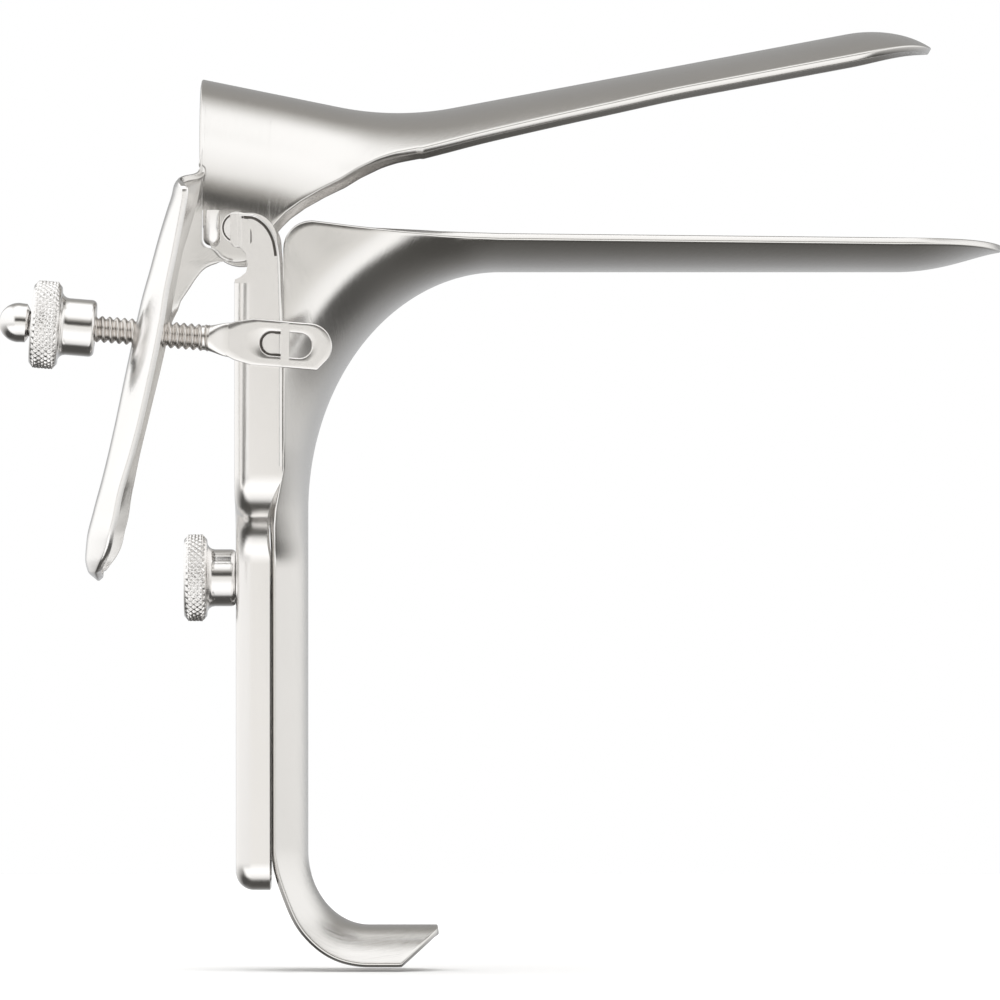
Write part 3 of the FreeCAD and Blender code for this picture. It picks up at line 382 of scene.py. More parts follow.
class Tree:
    """Node tree of a material or of the world."""

    def __init__(self, owner):
        owner.use_nodes = True
        self.tree = owner.node_tree
        self.tree.nodes.clear()

    def node(self, kind, settings=None, inputs=None, stops=None):
        """New node: its settings first, then ramp stops, then values or links."""
        made = self.tree.nodes.new(kind)
        for key, value in (settings or {}).items():
            setattr(made, key, value)
        if stops:
            ramp = made.color_ramp
            while len(ramp.elements) < len(stops):
                ramp.elements.new(0.5)
            for element, (place, colour) in zip(ramp.elements, stops):
                element.position = place
                element.color = (*colour, 1.0)
        for key, value in (inputs or {}).items():
            if isinstance(value, Wire):
                self.tree.links.new(value.socket, made.inputs[key])
            else:
                made.inputs[key].default_value = value
        return made

    def wire(self, kind, output, settings=None, inputs=None, stops=None):
        """One output of a new node."""
        return Wire(self.tree, self.node(kind, settings, inputs, stops).outputs[output])

    def eased(self, value, low, high):
        """Smooth step of a value from 0 at low to 1 at high."""
        return self.wire("ShaderNodeMapRange", "Result", {"interpolation_type": "SMOOTHSTEP"},
                         {"Value": value, "From Min": low, "From Max": high})

    def mixed(self, share, first, second, blend="MIX"):
        """First colour where the share is 0 and the second where it is 1."""
        return self.wire("ShaderNodeMix", 2, {"data_type": "RGBA", "blend_type": blend},
                         {"Factor": share, 6: first, 7: second})

    def axes(self, vector):
        """The three numbers of a vector."""
        parts = self.node("ShaderNodeSeparateXYZ", None, {0: vector})
        return [Wire(self.tree, parts.outputs[axis]) for axis in "XYZ"]

    def finish(self, kind, shader):
        """Output node of the given kind, fed by a shader."""
        out = self.node(kind)
        self.tree.links.new(shader.outputs[0], out.inputs["Surface"])


def satin(name, colour, roughness, grain, streak, coordinates="grain", bump=0.12, painted_sheen=None):
    """Brushed steel: long fine scratches over soft clouds of polish.

    grain gives the scratches' density along three axes. The clouds shift roughness
    and colour by a few per cent, and the scratches add streak to the roughness. The
    last argument gives a lighter colour, a painted sheen that brightens the lever's
    shading, and a lower roughness out on the lever.
    """
    material = bpy.data.materials.new(name)
    tree = Tree(material)
    if coordinates == "grain":
        place = tree.wire("ShaderNodeAttribute", "Vector", {"attribute_name": "grain"})
        scale = 1.0
    else:
        place = tree.wire("ShaderNodeTexCoord", "Object")
        scale = 1000.0
    stretch = tree.wire("ShaderNodeVectorMath", "Vector", {"operation": "MULTIPLY"},
                        {0: place, 1: tuple(g * scale for g in grain)})
    lines = tree.wire("ShaderNodeTexNoise", "Fac", None,
                      {"Vector": stretch, "Scale": 1.0, "Detail": 3.0, "Roughness": 0.6})
    body = tree.wire("ShaderNodeTexCoord", "Object")
    clouds = tree.wire("ShaderNodeTexNoise", "Fac", None,
                       {"Vector": body, "Scale": 90.0, "Detail": 3.0, "Roughness": 0.55})
    shade = 0.94 + 0.06 * lines + 0.05 * clouds
    base = (*colour, 1.0)
    # painted sheen: a lighter colour and lower roughness out on the near side, where the lever is
    if painted_sheen:
        share = tree.eased(tree.axes(body)[1] * -1.0, *SHEEN_FROM)
        base = tree.mixed(share, base, (*painted_sheen[0], 1.0))
        roughness = roughness + share * (painted_sheen[1] - roughness)
    grey = tree.wire("ShaderNodeCombineColor", "Color", None,
                     {"Red": shade, "Green": shade, "Blue": shade})
    paint = tree.mixed(1.0, base, grey, "MULTIPLY")
    rough = roughness - streak / 2 - 0.02 + streak * lines + 0.04 * clouds
    relief = tree.wire("ShaderNodeBump", "Normal", None,
                       {"Strength": bump, "Distance": 0.00003, "Height": lines})
    shader = tree.node("ShaderNodeBsdfPrincipled", None,
                       {"Base Color": paint, "Metallic": 1.0, "Roughness": rough,
                        "Normal": relief})
    tree.finish("ShaderNodeOutputMaterial", shader)
    return material


# the lever's painted sheen, a lighter colour, starts and ends this far out to the near side, in metres
SHEEN_FROM = (0.0197, 0.0235)
STEEL = (0.77, 0.757, 0.738)
# the formed sheet gets a painted sheen, a lighter colour, out on the lever
FORMED = satin("formed_sheet_satin", STEEL, 0.18, (7.0, 0.35, 3.0), 0.12, bump=0.55,
               painted_sheen=((0.92, 0.91, 0.90), 0.14))
FLAT = satin("flat_sheet_satin", (0.92, 0.905, 0.89), 0.22, (7.0, 7.0, 0.4), 0.14, "object",
             bump=0.3)
POLISHED = satin("turned_polish", (0.90, 0.89, 0.88), 0.13, (1.0, 6.0, 6.0), 0.06, "object")
# painted shadow: a dark steel for beads and slivers that stand in for the shade in grooves, gaps, a
# slit and the slot's edge
SHADOW = satin("painted_shadow", (0.13, 0.12, 0.11), 0.45, (3.0, 3.0, 3.0), 0.1, "object")
THREAD = satin("thread_steel", (0.70, 0.67, 0.64), 0.24, (2.0, 6.0, 6.0), 0.08, "object")


# lower blade

def arc_radius(half, depth):
    """Radius of the arc with this half chord and this rise."""
    return (np.square(half) + np.square(depth)) / (2 * np.asarray(depth))


def lower_trough():
    """Blade, throat, handle and hook as one trough.

    The crown runs level, turns down a quarter ellipse, runs down the handle and turns
    a second quarter ellipse into the hook. At the tip it climbs as a parabola. The
    rim is where each section meets the trimmed outline seen from the side.
    """
    share = TIP_STOP * (1 - crowded(44, 1.6))
    depth = LOWER_DEPTH
    spoon = np.stack([LOWER_TIP - LOWER_SPOON * (1 - share),
                      -DROP + depth * share ** 2 - LOWER_DIP * share ** 6], 1)
    tilt = -np.arctan(2 * depth * share / LOWER_SPOON)
    spoon_way = np.stack([np.sin(tilt), np.cos(tilt)], 1)
    spoon_reach = depth * (1 - share ** 2)
    spoon_radius = np.full(len(share), arc_radius(BLADE_HALF, depth))

    x = np.linspace(LOWER_TIP - LOWER_SPOON, THROAT_X, 60)[1:-1]
    blade = np.stack([x, np.full_like(x, -DROP)], 1)
    blade_way = np.tile([0.0, 1.0], (len(x), 1))
    blade_radius = np.full(len(x), arc_radius(BLADE_HALF, depth))

    angle = np.radians(np.linspace(0, 90, 110))
    throat = np.stack([THROAT_X - THROAT_RUN * np.sin(angle),
                       -DROP - THROAT_HEIGHT * (1 - np.cos(angle))], 1)
    tilt = -np.arctan2(THROAT_HEIGHT * np.sin(angle), THROAT_RUN * np.cos(angle))
    throat_way = np.stack([np.sin(tilt), np.cos(tilt)], 1)
    at = [0, 4, 10, 16, 22, 30, 38, 46, 60, 75, 90]
    halves = [BLADE_HALF, 15.6, 16.5, 17.8, 18.6, 18.9, 18.95, 18.9, 18.5, 16.4, 11.97]
    depths = [LOWER_DEPTH, 3.85, 5.2, 7.3, 10.0, 14.0, 17.2, 14.66, 7.8, 4.5, 4.12]
    square_at = [0, 12, 26, 38, 50, 66, 90]
    squares = through(square_at, [0, 0.25, 0.8, 1, 0.9, 0.3, 0], np.degrees(angle))
    half_widths = through(at, halves, np.degrees(angle))
    curve_depths = through(square_at, [7, 8, 10.5, 11.5, 11.0, 9, 7], np.degrees(angle))
    throat_radius = through(at, arc_radius(halves, depths), np.degrees(angle))

    z = FOOT_Z - HANDLE_LENGTH * np.linspace(0, 1, 60)[1:]
    handle = np.stack([np.full_like(z, FRONT_X), z], 1)
    handle_way = np.tile([-1.0, 0.0], (len(z), 1))
    handle_radius = through([0, 0.08, 0.16, 1], [19.4, 14.5, 10.6, 10.28],
                            np.linspace(0, 1, 60)[1:])

    angle = np.radians(np.linspace(0, 90, 50)[1:])
    hook = np.stack([FRONT_X + HOOK_RUN * (1 - np.cos(angle)),
                     FOOT_Z - HANDLE_LENGTH - HOOK_DROP * np.sin(angle)], 1)
    tilt = -np.pi / 2 - np.arctan2(HOOK_RUN * np.sin(angle), HOOK_DROP * np.cos(angle))
    hook_way = np.stack([np.sin(tilt), np.cos(tilt)], 1)
    hook_depth = through([0, 25, 50, 75, 90], [HANDLE_DEPTH, 4.1, 4.8, HOOK_DEPTH, HOOK_DEPTH],
                         np.degrees(angle))
    hook_radius = arc_radius(HOOK_HALF, hook_depth)

    x = FRONT_X + HOOK_RUN + HOOK_REACH * np.linspace(0, 1, 26)[1:]
    end = np.stack([x, np.full_like(x, FOOT_Z - HANDLE_LENGTH - HOOK_DROP)], 1)
    end_way = np.tile([0.0, -1.0], (len(x), 1))
    # the hook's sides are cut back on a slant towards the end
    end_reach = np.minimum(HOOK_DEPTH, 0.4 + 0.98 * (x[-1] - x))
    end_radius = np.full(len(x), arc_radius(HOOK_HALF, HOOK_DEPTH))

    rim = np.concatenate([
        [[LOWER_TIP, -2.3], [LOWER_TIP - LOWER_SPOON, -2.3], [THROAT_X, -1.7]],
        [[33.0, -1.52], [29.0, -1.27], [23.1, -0.68], [16.0, 0.16], [11.5, 0.74]],
        arc_points((10.6, -2.97), 3.8, 80, 180, 12),
        [[6.8, -30.0], [6.7, -34.5], [5.6, -40.0], [5.4, -42.5], [5.4, -91.0]]])
    crown = np.concatenate([spoon, blade, throat, handle, hook, end])
    way = np.concatenate([spoon_way, blade_way, throat_way, handle_way, hook_way, end_way])
    radius = np.concatenate([spoon_radius, blade_radius, throat_radius, handle_radius,
                             hook_radius, end_radius])
    trimmed = np.concatenate([blade, throat])
    trimmed_way = np.concatenate([blade_way, throat_way])
    rim_reach = reach_to(rim, trimmed, trimmed_way)
    handle_reach = reach_to(rim, handle, handle_way)
    handle_reach = np.where(handle_reach > 20, HANDLE_DEPTH, handle_reach)
    reach = np.concatenate([spoon_reach, rim_reach, handle_reach, hook_depth, end_reach])
    before = len(spoon) + len(blade)
    after = len(handle) + len(hook) + len(end)

    def padded(values, value):
        return np.concatenate([np.full(before, value), values, np.full(after, value)])

    return trough(crown, way, radius, reach, np.linspace(-1, 1, 71),
                  padded(half_widths, BLADE_HALF), padded(curve_depths, 7.0), padded(squares, 0.0))


corners, faces, grain = walled(lower_trough(), SHEET)
piece("lower_trough", corners, faces, FORMED, "lower", ("lower_blade",), grain)


# upper blade

def upper_trough():
    """Collar, saddle and blade as one trough turned over, with both ears.

    The crown falls from the collar, turns through a circle at the saddle and rises to
    the tip. Sections stay upright on the collar and turn square to the blade.
    """
    tangent = SADDLE_RADIUS * math.tan((COLLAR_FALL + BLADE_RISE) / 2)
    down = np.array([math.cos(COLLAR_FALL), -math.sin(COLLAR_FALL)])
    up = np.array([math.cos(BLADE_RISE), math.sin(BLADE_RISE)])
    centre = SADDLE - down * tangent + SADDLE_RADIUS * np.array([-down[1], down[0]])
    # stations crowd at the ear's two ends, where the lower outline drops
    beside = EAR_LOBE + 0.02
    rest = beside + ((SADDLE - down * tangent)[0] - beside) * crowded(50, 1.5)
    round_ear = -EAR_LOBE * np.cos(np.linspace(0, np.pi, 40))
    x = np.concatenate([np.linspace(-5.1, -beside, 6), round_ear, rest])
    collar = np.stack([x, SADDLE[1] + (SADDLE[0] - x) * math.tan(COLLAR_FALL)], 1)
    angle = np.linspace(-COLLAR_FALL, BLADE_RISE, 40)[1:]
    saddle = np.stack([centre[0] + SADDLE_RADIUS * np.sin(angle),
                       centre[1] - SADDLE_RADIUS * np.cos(angle)], 1)
    spoon_start = UPPER_LENGTH - UPPER_SPOON
    along = np.linspace(tangent, spoon_start, 70)[1:]
    blade = SADDLE + along[:, None] * up
    share = TIP_STOP * (1 - crowded(40, 1.6))[-2::-1]
    run = UPPER_LENGTH - UPPER_SPOON * (1 - share)
    sink = UPPER_DEPTH * share ** 2 + 0.7 * share ** 6
    spoon = SADDLE + run[:, None] * up + sink[:, None] * np.array([up[1], -up[0]])
    crown = np.concatenate([collar, saddle, blade, spoon])

    distance = (crown - SADDLE) @ up
    turn = BLADE_RISE * through([-2, 0, 8.5, 18.6, 30], [0, 0.3, 0.75, 1, 1], distance)
    tilt = np.pi - turn
    tilt[-len(spoon):] += np.arctan(2 * UPPER_DEPTH * share / UPPER_SPOON)
    way = np.stack([np.sin(tilt), np.cos(tilt)], 1)

    key = [-34, -18, -12.7, -8.4, 0, 8.5, 18.6, 30.2, 42.6, 54, 90]
    wide = [19.6, 19.6, 19.19, 18.53, 17.22, 16.2, 15.75, 15.5, 15.5, 15.5, 15.5]
    deep = [19.6, 19.6, 13.98, 10.7, 6.2, 4.7, 4.15, 3.75, 3.4, 3.4, 3.4]
    radius = through(key, arc_radius(wide, deep), distance)

    rim = np.concatenate([
        [[-30, 0.6], [-5.5, 0.6], [-EAR_LOBE - 0.01, 0.3]],
        arc_points((0, 0), EAR_LOBE, 180, 360, 40),
        [[4.95, 0.3], [5.6, 1.1], [6.8, 2.35], [9.0, 4.0], [11.8, 5.7], [14.7, 7.2], [17, 8.7],
         [20, 10.3], [22.5, 11.3], [25.8, 12.4]]])
    reach = reach_to(rim, crown, way)
    free = through([-30, -8.4, 0, 8.5, 18.6, 30.2, 42.6, 90],
                   [40, 12.5, 6.2, 4.7, 4.15, 3.75, 3.4, 3.4], distance)
    reach = np.where(reach > 1e5, free, np.minimum(reach, 60))
    mixing = ease(-6, 6, distance)
    reach = np.where(distance < 6, reach * (1 - mixing) + free * mixing, free)
    reach[-len(spoon):] = UPPER_DEPTH * (1 - share ** 2)
    return trough(crown, way, radius, reach, np.linspace(-1, 1, 81))


corners, faces, grain = walled(upper_trough(), SHEET)
upper = piece("upper_trough", corners, faces, FORMED, "upper",
              ("upper_blade",), grain)


def window_planes(outline, middle):
    """Planes along every side of an outline, each as a place and a way outwards."""
    planes = []
    for first, last in zip(outline, np.roll(outline, -1, axis=0)):
        place = Vector((first[0], 0, first[1]))
        outward = Vector((last[1] - first[1], 0, first[0] - last[0])).normalized()
        if (middle - place).dot(outward) > 0:
            outward = -outward
        planes.append((place, outward))
    return planes


def rim_chains(work):
    """Outer and inner chain of corners of the one open rim that a window leaves.

    The window opens into the ear's rear edge, so the rim runs along the outer skin,
    through the sheet and back along the inner skin.
    """
    links = {}
    for edge in work.edges:
        if len(edge.link_faces) == 1:
            for corner in edge.verts:
                links.setdefault(corner, []).append(edge.other_vert(corner))
    middle = np.mean([corner.co.y for corner in links])
    first = next(corner for corner in links if corner.co.y < middle
                 and any(other.co.y >= middle for other in links[corner]))
    loop = [next(other for other in links[first] if other.co.y >= middle), first]
    while loop[-1] is not loop[0]:
        loop.append(next(other for other in links[loop[-1]] if other is not loop[-2]))
    outer = [corner for corner in loop[1:] if corner.co.y < middle]
    inner = [corner for corner in loop[1:] if corner.co.y >= middle]
    return outer, inner[::-1]


def length_shares(chain):
    """Share of a chain's length at each of its corners."""
    steps = [(second.co - first.co).length for first, second in zip(chain[:-1], chain[1:])]
    return np.concatenate([[0], np.cumsum(steps)]) / sum(steps)


def wall_between(work, outer, inner):
    """Triangles between two chains: each step is taken on the chain that lags behind."""
    outer_at, inner_at = length_shares(outer), length_shares(inner)
    made = []
    here, there = 0, 0
    while here < len(outer) - 1 or there < len(inner) - 1:
        on_outer = there == len(inner) - 1 or (here < len(outer) - 1
                                               and outer_at[here + 1] <= inner_at[there + 1])
        third = outer[here + 1] if on_outer else inner[there + 1]
        made.append(work.faces.new((outer[here], inner[there], third)))
        here, there = (here + 1, there) if on_outer else (here, there + 1)
    return made


def cut_window(thing, outline, side, spread):
    """Cut a window with a convex outline, seen from the side, through one ear.

    The faces beyond side and within spread of the window's middle are split along the
    plane of every side of the outline. Those inside all the planes are taken out, and
    a wall joins the two rims that are left.
    """
    outline = np.asarray(outline, float) * MM
    x, z = outline.mean(axis=0)
    middle = Vector((x, 0, z))
    planes = window_planes(outline, middle)
    work = bmesh.new()
    work.from_mesh(thing.data)
    for place, outward in planes:
        near = [face for face in work.faces
                if face.calc_center_median().y < side * MM
                and (face.calc_center_median() - middle).xz.length < spread * MM]
        parts = set(near)
        for face in near:
            parts.update(face.edges)
            parts.update(face.verts)
        bmesh.ops.bisect_plane(work, geom=list(parts), dist=1e-8, plane_co=place,
                               plane_no=outward)
    inside = [face for face in work.faces
              if face.calc_center_median().y < side * MM
              and all((face.calc_center_median() - place).dot(outward) < 1e-8
                      for place, outward in planes)]
    bmesh.ops.delete(work, geom=inside, context="FACES")
    wall = wall_between(work, *rim_chains(work))
    # the cut leaves one sliver open where the window meets the rear edge
    bmesh.ops.holes_fill(work, edges=[edge for edge in work.edges if len(edge.link_faces) == 1])
    bmesh.ops.recalc_face_normals(work, faces=work.faces)
    for face in wall:
        face.smooth = False
        for edge in face.edges:
            edge.smooth = False
    work.to_mesh(thing.data)
    work.free()


WINDOW = np.concatenate([[[-2.35, 2.55], [-4.95, 2.55]],
                         arc_points((-3.65, -1.6), 1.3, 180, 360, 9)])
cut_window(upper, WINDOW, -17.0, 5.5)


# thumb lever

def ear_side(z):
    """How far the near ear and collar stand out at a height: flat, then a round."""
    return -np.sqrt(COLLAR_RADIUS ** 2 - np.maximum(z - 1.9, 0) ** 2) - 0.003


def spline(t, points):
    """Clamped cubic B-spline over its control values, by the Cox-de Boor formula."""
    knots = np.concatenate([[0, 0, 0], np.linspace(0, 1, len(points) - 2), [1, 1, 1]])
    count = len(knots) - 1
    basis = [((t >= knots[i]) & (t < knots[i + 1])).astype(float) for i in range(count)]
    basis[len(points) - 1] = np.where(t == 1, 1.0, basis[len(points) - 1])
    for degree in (1, 2, 3):
        raised = []
        for i in range(count - degree):
            left = knots[i + degree] - knots[i]
            right = knots[i + degree + 1] - knots[i + 1]
            first = (t - knots[i]) / left * basis[i] if left else 0 * t
            second = (knots[i + degree + 1] - t) / right * basis[i + 1] if right else 0 * t
            raised.append(first + second)
        basis = raised
    return sum(b * p for b, p in zip(basis, points))


def lever_leaf():
    """Web and thumb lever as one sheet that folds out of the near ear.

    Across, each level section is a cubic B-spline with eight control points: the web
    in the ear's plane, the fold at the crease, and the dished leaf up to its near
    edge. Down the lever, the points follow the crown, and the tip is rounded.
    """
    tip = -50.2
    last = tip + 0.02
    crown = np.array([(tip, -19.7), (-48.9, -21.1), (-47.0, -21.55), (-44.5, -21.4),
                      (-40.2, -20.4), (-36.0, -19.25), (-29.6, -17.75), (-18.9, -15.5),
                      (-10.4, -13.6), (-6.2, -12.4), (-1.5, -11.1), (2.3, -9.9), (4.5, -9.15),
                      (5.9, -8.8), (6.75, -8.25), (7.3, -7.5), (7.7, -6.8), (8.2, -6.2),
                      (8.8, -5.75), (9.7, -5.35), (13, -5.2)])
    crease = np.array([(-60, -9.9), (-12.7, -9.6), (-7.5, -8.9), (-5.3, -8.5), (-2.8, -8.0),
                       (-1.3, -7.5), (0.4, -7.0), (2.9, -6.3), (4.5, -6.0), (7.4, -5.45),
                       (9.7, -5.15), (13, -5.05)])
    web = np.array([(-60, -9.8), (-13.4, -9.8), (-12.3, -9.4), (-10.6, -8.4), (-8.7, -7.1),
                    (-6.9, -5.9), (-5.6, -4.7), (-5.05, -3.6), (-4.80, -2.6), (-4.72, -1.3),
                    (-4.68, -0.6), (-4.6, -0.9), (-4.2, -1.8), (-3.4, -2.6), (-3.0, -3.2),
                    (-2.9, -3.65), (-2.85, -4.04), (-2.7, -4.34), (-2.4, -4.68), (-2.0, -4.89),
                    (-1.6, -4.95), (20, -4.95)])
    near_dish = np.array([(-60, 3.4), (-42, 3.3), (-37, 3.0), (-32, 3.3), (-27, 3.5), (-19, 3.6),
                          (-14, 3.5), (-7.1, 2.9), (-2.8, 2.6), (3.1, 1.85), (5.6, 1.3), (9, 0.5)])
    far_dish = np.array([(-60, 4.3), (-42, 4.3), (-37, 3.8), (-32, 3.6), (-26, 3.75), (-18, 4.0),
                         (0, 4.0)])
    start = 11.0
    rows = np.concatenate([np.linspace(start, -1.4, 44), np.linspace(-1.4, -3.2, 24)[1:],
                           np.linspace(-3.2, -4.5, 14)[1:], np.linspace(-4.5, -5.1, 36)[1:],
                           np.linspace(-5.1, -14, 34)[1:], np.linspace(-14, -45, 60)[1:],
                           last + (-45 - tip) * crowded(44, 1.8)[::-1][1:]])
    s = ((start - rows) / (start - rows[-1]))[:, None]
    t = np.linspace(0, 1, 91)[None]
    top = through([0, 0.04, 0.1, 0.16, 0.22, 0.3, 0.4, 0.55, 0.75, 0.88, 0.96, 1],
                  [start, 10.6, 9.95, 9.3, 8.8, 8.3, 7.9, 7.55, 7.2, 6.6, 5.9, 5.2], t)
    z = top + (last - top) * s
    back, fold, edge, near, far = (through(table[:, 0], table[:, 1], z)
                                   for table in (crown, crease, web, near_dish, far_dish))
    free = 1 - ease(-15.5, -10.0, z)
    high = ease(5, 8, z)
    ear = ear_side(z)

    def joined(attached, loose):
        return attached * (1 - free) + loose * free

    x = spline(t, [joined(edge, back + far),
                   joined(np.minimum(fold + 0.9, edge - 0.12), back + far - 0.5),
                   joined(np.minimum(fold + 0.1, edge - 0.24), back + far - 1.1),
                   joined(np.minimum(fold - 0.3, edge - 0.4), back + far - 1.9),
                   back + 1.3 - 0.9 * high, back - 0.45 + 0.4 * high, back + 0.35 * near,
                   back + near])
    y = spline(t, [joined(ear, loose) for loose in (-18.5, -19.1, -19.9, -21.2)]
               + [loose + 0 * z for loose in (-23.4, -28.2, -34.2, -37.3)])
    # the tip is a half ellipse across, and its dish runs out towards the end
    room = np.clip((z - tip) / 7.4, 0, 1)
    middle = -28.0
    y = middle + (y - middle) * np.sqrt(1 - (1 - room) ** 2)
    room = np.clip((z - tip) / 6.0, 0, 1)
    x = back + (x - back) * (1 - (1 - room) ** 2)
    return np.stack([x, y, z + 0 * x], -1)


def off_the_ear(place):
    """Nought on the ear, where the lever's sheet runs flush into it, and one off it."""
    on_ear = ease(-5.15, -5.0, place[:, 0]) * ease(-4.9, -4.7, place[:, 2])
    return 1 - on_ear


corners, faces, grain = walled(lever_leaf(), SHEET, 0.28, off_the_ear)
piece("lever_leaf", corners, faces, FORMED, "upper", grain=grain)


def set_tab():
    """Tab that hangs from the top of its window, with a round foot, and curves inwards."""
    t = np.linspace(0, 0.995, 34)[:, None]
    across = np.linspace(-1, 1, 9)[None]
    half = 1.12 * np.sqrt(1 - np.clip((t - 0.78) / 0.22, 0, 1) ** 2)
    x = -3.65 + half * across
    z = 2.8 - 5.35 * t + 0 * x
    y = -19.55 + 0.9 * t ** 1.5 + 0.22 * across ** 2
    return np.stack([x + 0 * t, y + 0 * z, z], -1)


corners, faces, grain = walled(set_tab(), 0.7, 0.12)
piece("ear_tab", corners, faces, FLAT, "upper", grain=grain)


# screws and nuts

def screw(start, end, radius, depth, pitch):
    """Threaded rod along X: the radius dips once per pitch along a helix.

    The dip is depth times a rounded wave of the phase x / pitch - angle / 2 pi, and
    fades out within half a pitch of both ends, which close on the axis.
    """
    sides = 56
    steps_per_turn = 14
    x = np.linspace(start, end, int((end - start) / pitch * steps_per_turn))
    angle = np.linspace(0, 2 * np.pi, sides, endpoint=False)[:, None]
    phase = x[None] / pitch - angle / (2 * np.pi)
    wave = (0.5 + 0.5 * np.cos(2 * np.pi * phase)) ** 0.8
    fade = ease(start, start + 0.5 * pitch, x) * (1 - ease(end - 0.5 * pitch, end, x))
    r = radius - depth * (1 - wave) * fade[None]
    pole = np.full((sides, 1), 1e-6)
    r = np.concatenate([pole, r, pole], 1)
    x = np.concatenate([[start], x, [end]])
    grid = np.stack([x[None] + 0 * r, r * np.cos(angle), r * np.sin(angle)], -1)
    return grid.reshape(-1, 3), strip_faces(*grid.shape[:2], close_rows=True)


def knurled_nut(back, step, face, bore, rim, hub):
    """Wheel with a diamond knurl, waisted hub and bore, turned round X.

    The knurl cuts two crossing sets of grooves: the radius falls by the groove's depth
    times the larger of two triangle waves of angle plus and minus distance along the
    wheel.
    """
    ridges = 40
    groove = 0.3
    flat_share = 0.35
    profile = np.array([(back, bore), (back, rim - 0.75), (back + 0.65, rim), (step - 0.65, rim),
                        (step, rim - 0.75), (step, hub), (face, hub), (face, bore + 0.5),
                        (face - 0.5, bore)])
    radii = [0.05, 0.15, 0.12, 0.12, 0.25, 1.1, 0.7, 0.12, 0.05]
    profile = divided(rounded(profile, radii), 0.16)
    angle = np.linspace(0, 2 * np.pi, 520, endpoint=False)[:, None]
    x = profile[None, :, 0]
    r = profile[None, :, 1]
    slant = ridges / rim * (x - back)

    def ridge(phase):
        return np.abs((phase / (2 * np.pi)) % 1 - 0.5) * 2

    cut = np.maximum(ridge(ridges * angle + slant), ridge(ridges * angle - slant))
    cut = np.clip((cut - flat_share) / (1 - flat_share), 0, 1)
    mask = ease(rim - 0.55, rim - 0.1, r) * ((x > back) & (x < step))
    r = r - groove * cut * mask
    grid = np.stack([x + 0 * r, r * np.cos(angle), r * np.sin(angle)], -1)
    return grid.reshape(-1, 3), strip_faces(*grid.shape[:2], close_rows=True, close_columns=True)


corners, faces = knurled_nut(-36.2, -32.2, -27.1, 1.96, WHEEL_RADIUS, 4.05)
piece("rod_nut", on_rod(corners), faces, POLISHED, "adjusting_nut",
      ("adjusting_nut",), sharp=math.radians(50))
corners, faces = knurled_nut(-7.95, -4.65, -0.45, 1.86, WHEEL_RADIUS, 4.1)
piece("stem_nut", corners + np.array([0, 0, LOCK_Z]), faces, POLISHED, "locking_nut",
      ("locking_nut",), sharp=math.radians(50))
corners, faces = screw(-38.0, -10.9, 1.9, 0.42, PITCH)
piece("rod_thread", on_rod(corners), faces, THREAD, "rod", sharp=math.radians(60))


def link_plate():
    """Flat link: a closed ring round the slot, with a round-cornered section.

    For each angle the section runs from the slot's edge to the outer edge, over one
    face and back under the other, with small rounds at its four corners.
    """
    turns = np.linspace(0, 1, 220, endpoint=False)
    slot = stadium(-3.6, 3.8, 1.75, turns)
    nose = arc_points((3.4, 0), 3.3, -31, 90, 30)
    shoulders = [[-4.8, 3.3], [-7.2, 2.75], [-9.6, 1.7], [-9.6, -1.7], [-7.2, -2.75], [-4.8, -3.3],
                 [4.9, -3.3]]
    outer = from_axis(resample(np.concatenate([nose, shoulders]), turns))
    width = np.linalg.norm(outer - slot, axis=1, keepdims=True)
    round_off = 0.22
    bend = np.radians([0, 30, 60, 90])
    section = [(round_off * (1 - math.cos(b)), 0.0, LINK_HALF - round_off * (1 - math.sin(b)))
               for b in bend]
    section += [(0.0, 0.35, LINK_HALF), (0.0, 0.7, LINK_HALF)]
    section += [(-round_off * (1 - math.cos(b)), 1.0, LINK_HALF - round_off * (1 - math.sin(b)))
                for b in bend[::-1]]
    section += [(d, a, -u) for d, a, u in section[::-1]]
    rows = []
    for inset, across, up in section:
        place = slot + (outer - slot) * (across + inset / width)
        rows.append(np.stack([place[:, 0], np.full(len(place), -up), place[:, 1]], -1))
    grid = np.stack(rows, 1)
    return grid.reshape(-1, 3), strip_faces(*grid.shape[:2], close_rows=True, close_columns=True)


def stadium(low, high, half, turns):
    """Points round a slot with round ends, as the share of a full turn grows."""
    path = np.concatenate([arc_points((high - half, 0), half, -90, 90, 24),
                           arc_points((low + half, 0), half, 90, 270, 24)])
    return from_axis(resample(path, turns))


def from_axis(points):
    """Points of a closed line, rolled so that the one nearest to the X axis comes first."""
    start = np.argmin(np.abs(np.arctan2(points[:, 1], points[:, 0])))
    return np.roll(points, -start, axis=0)


def resample(path, turns):
    """Points at equal shares of the length of a closed path."""
    closed = np.vstack([path, path[:1]])
    length = np.concatenate([[0], np.cumsum(np.linalg.norm(np.diff(closed, axis=0), axis=1))])
    at = turns * length[-1]
    return np.stack([np.interp(at, length, closed[:, k]) for k in (0, 1)], -1)


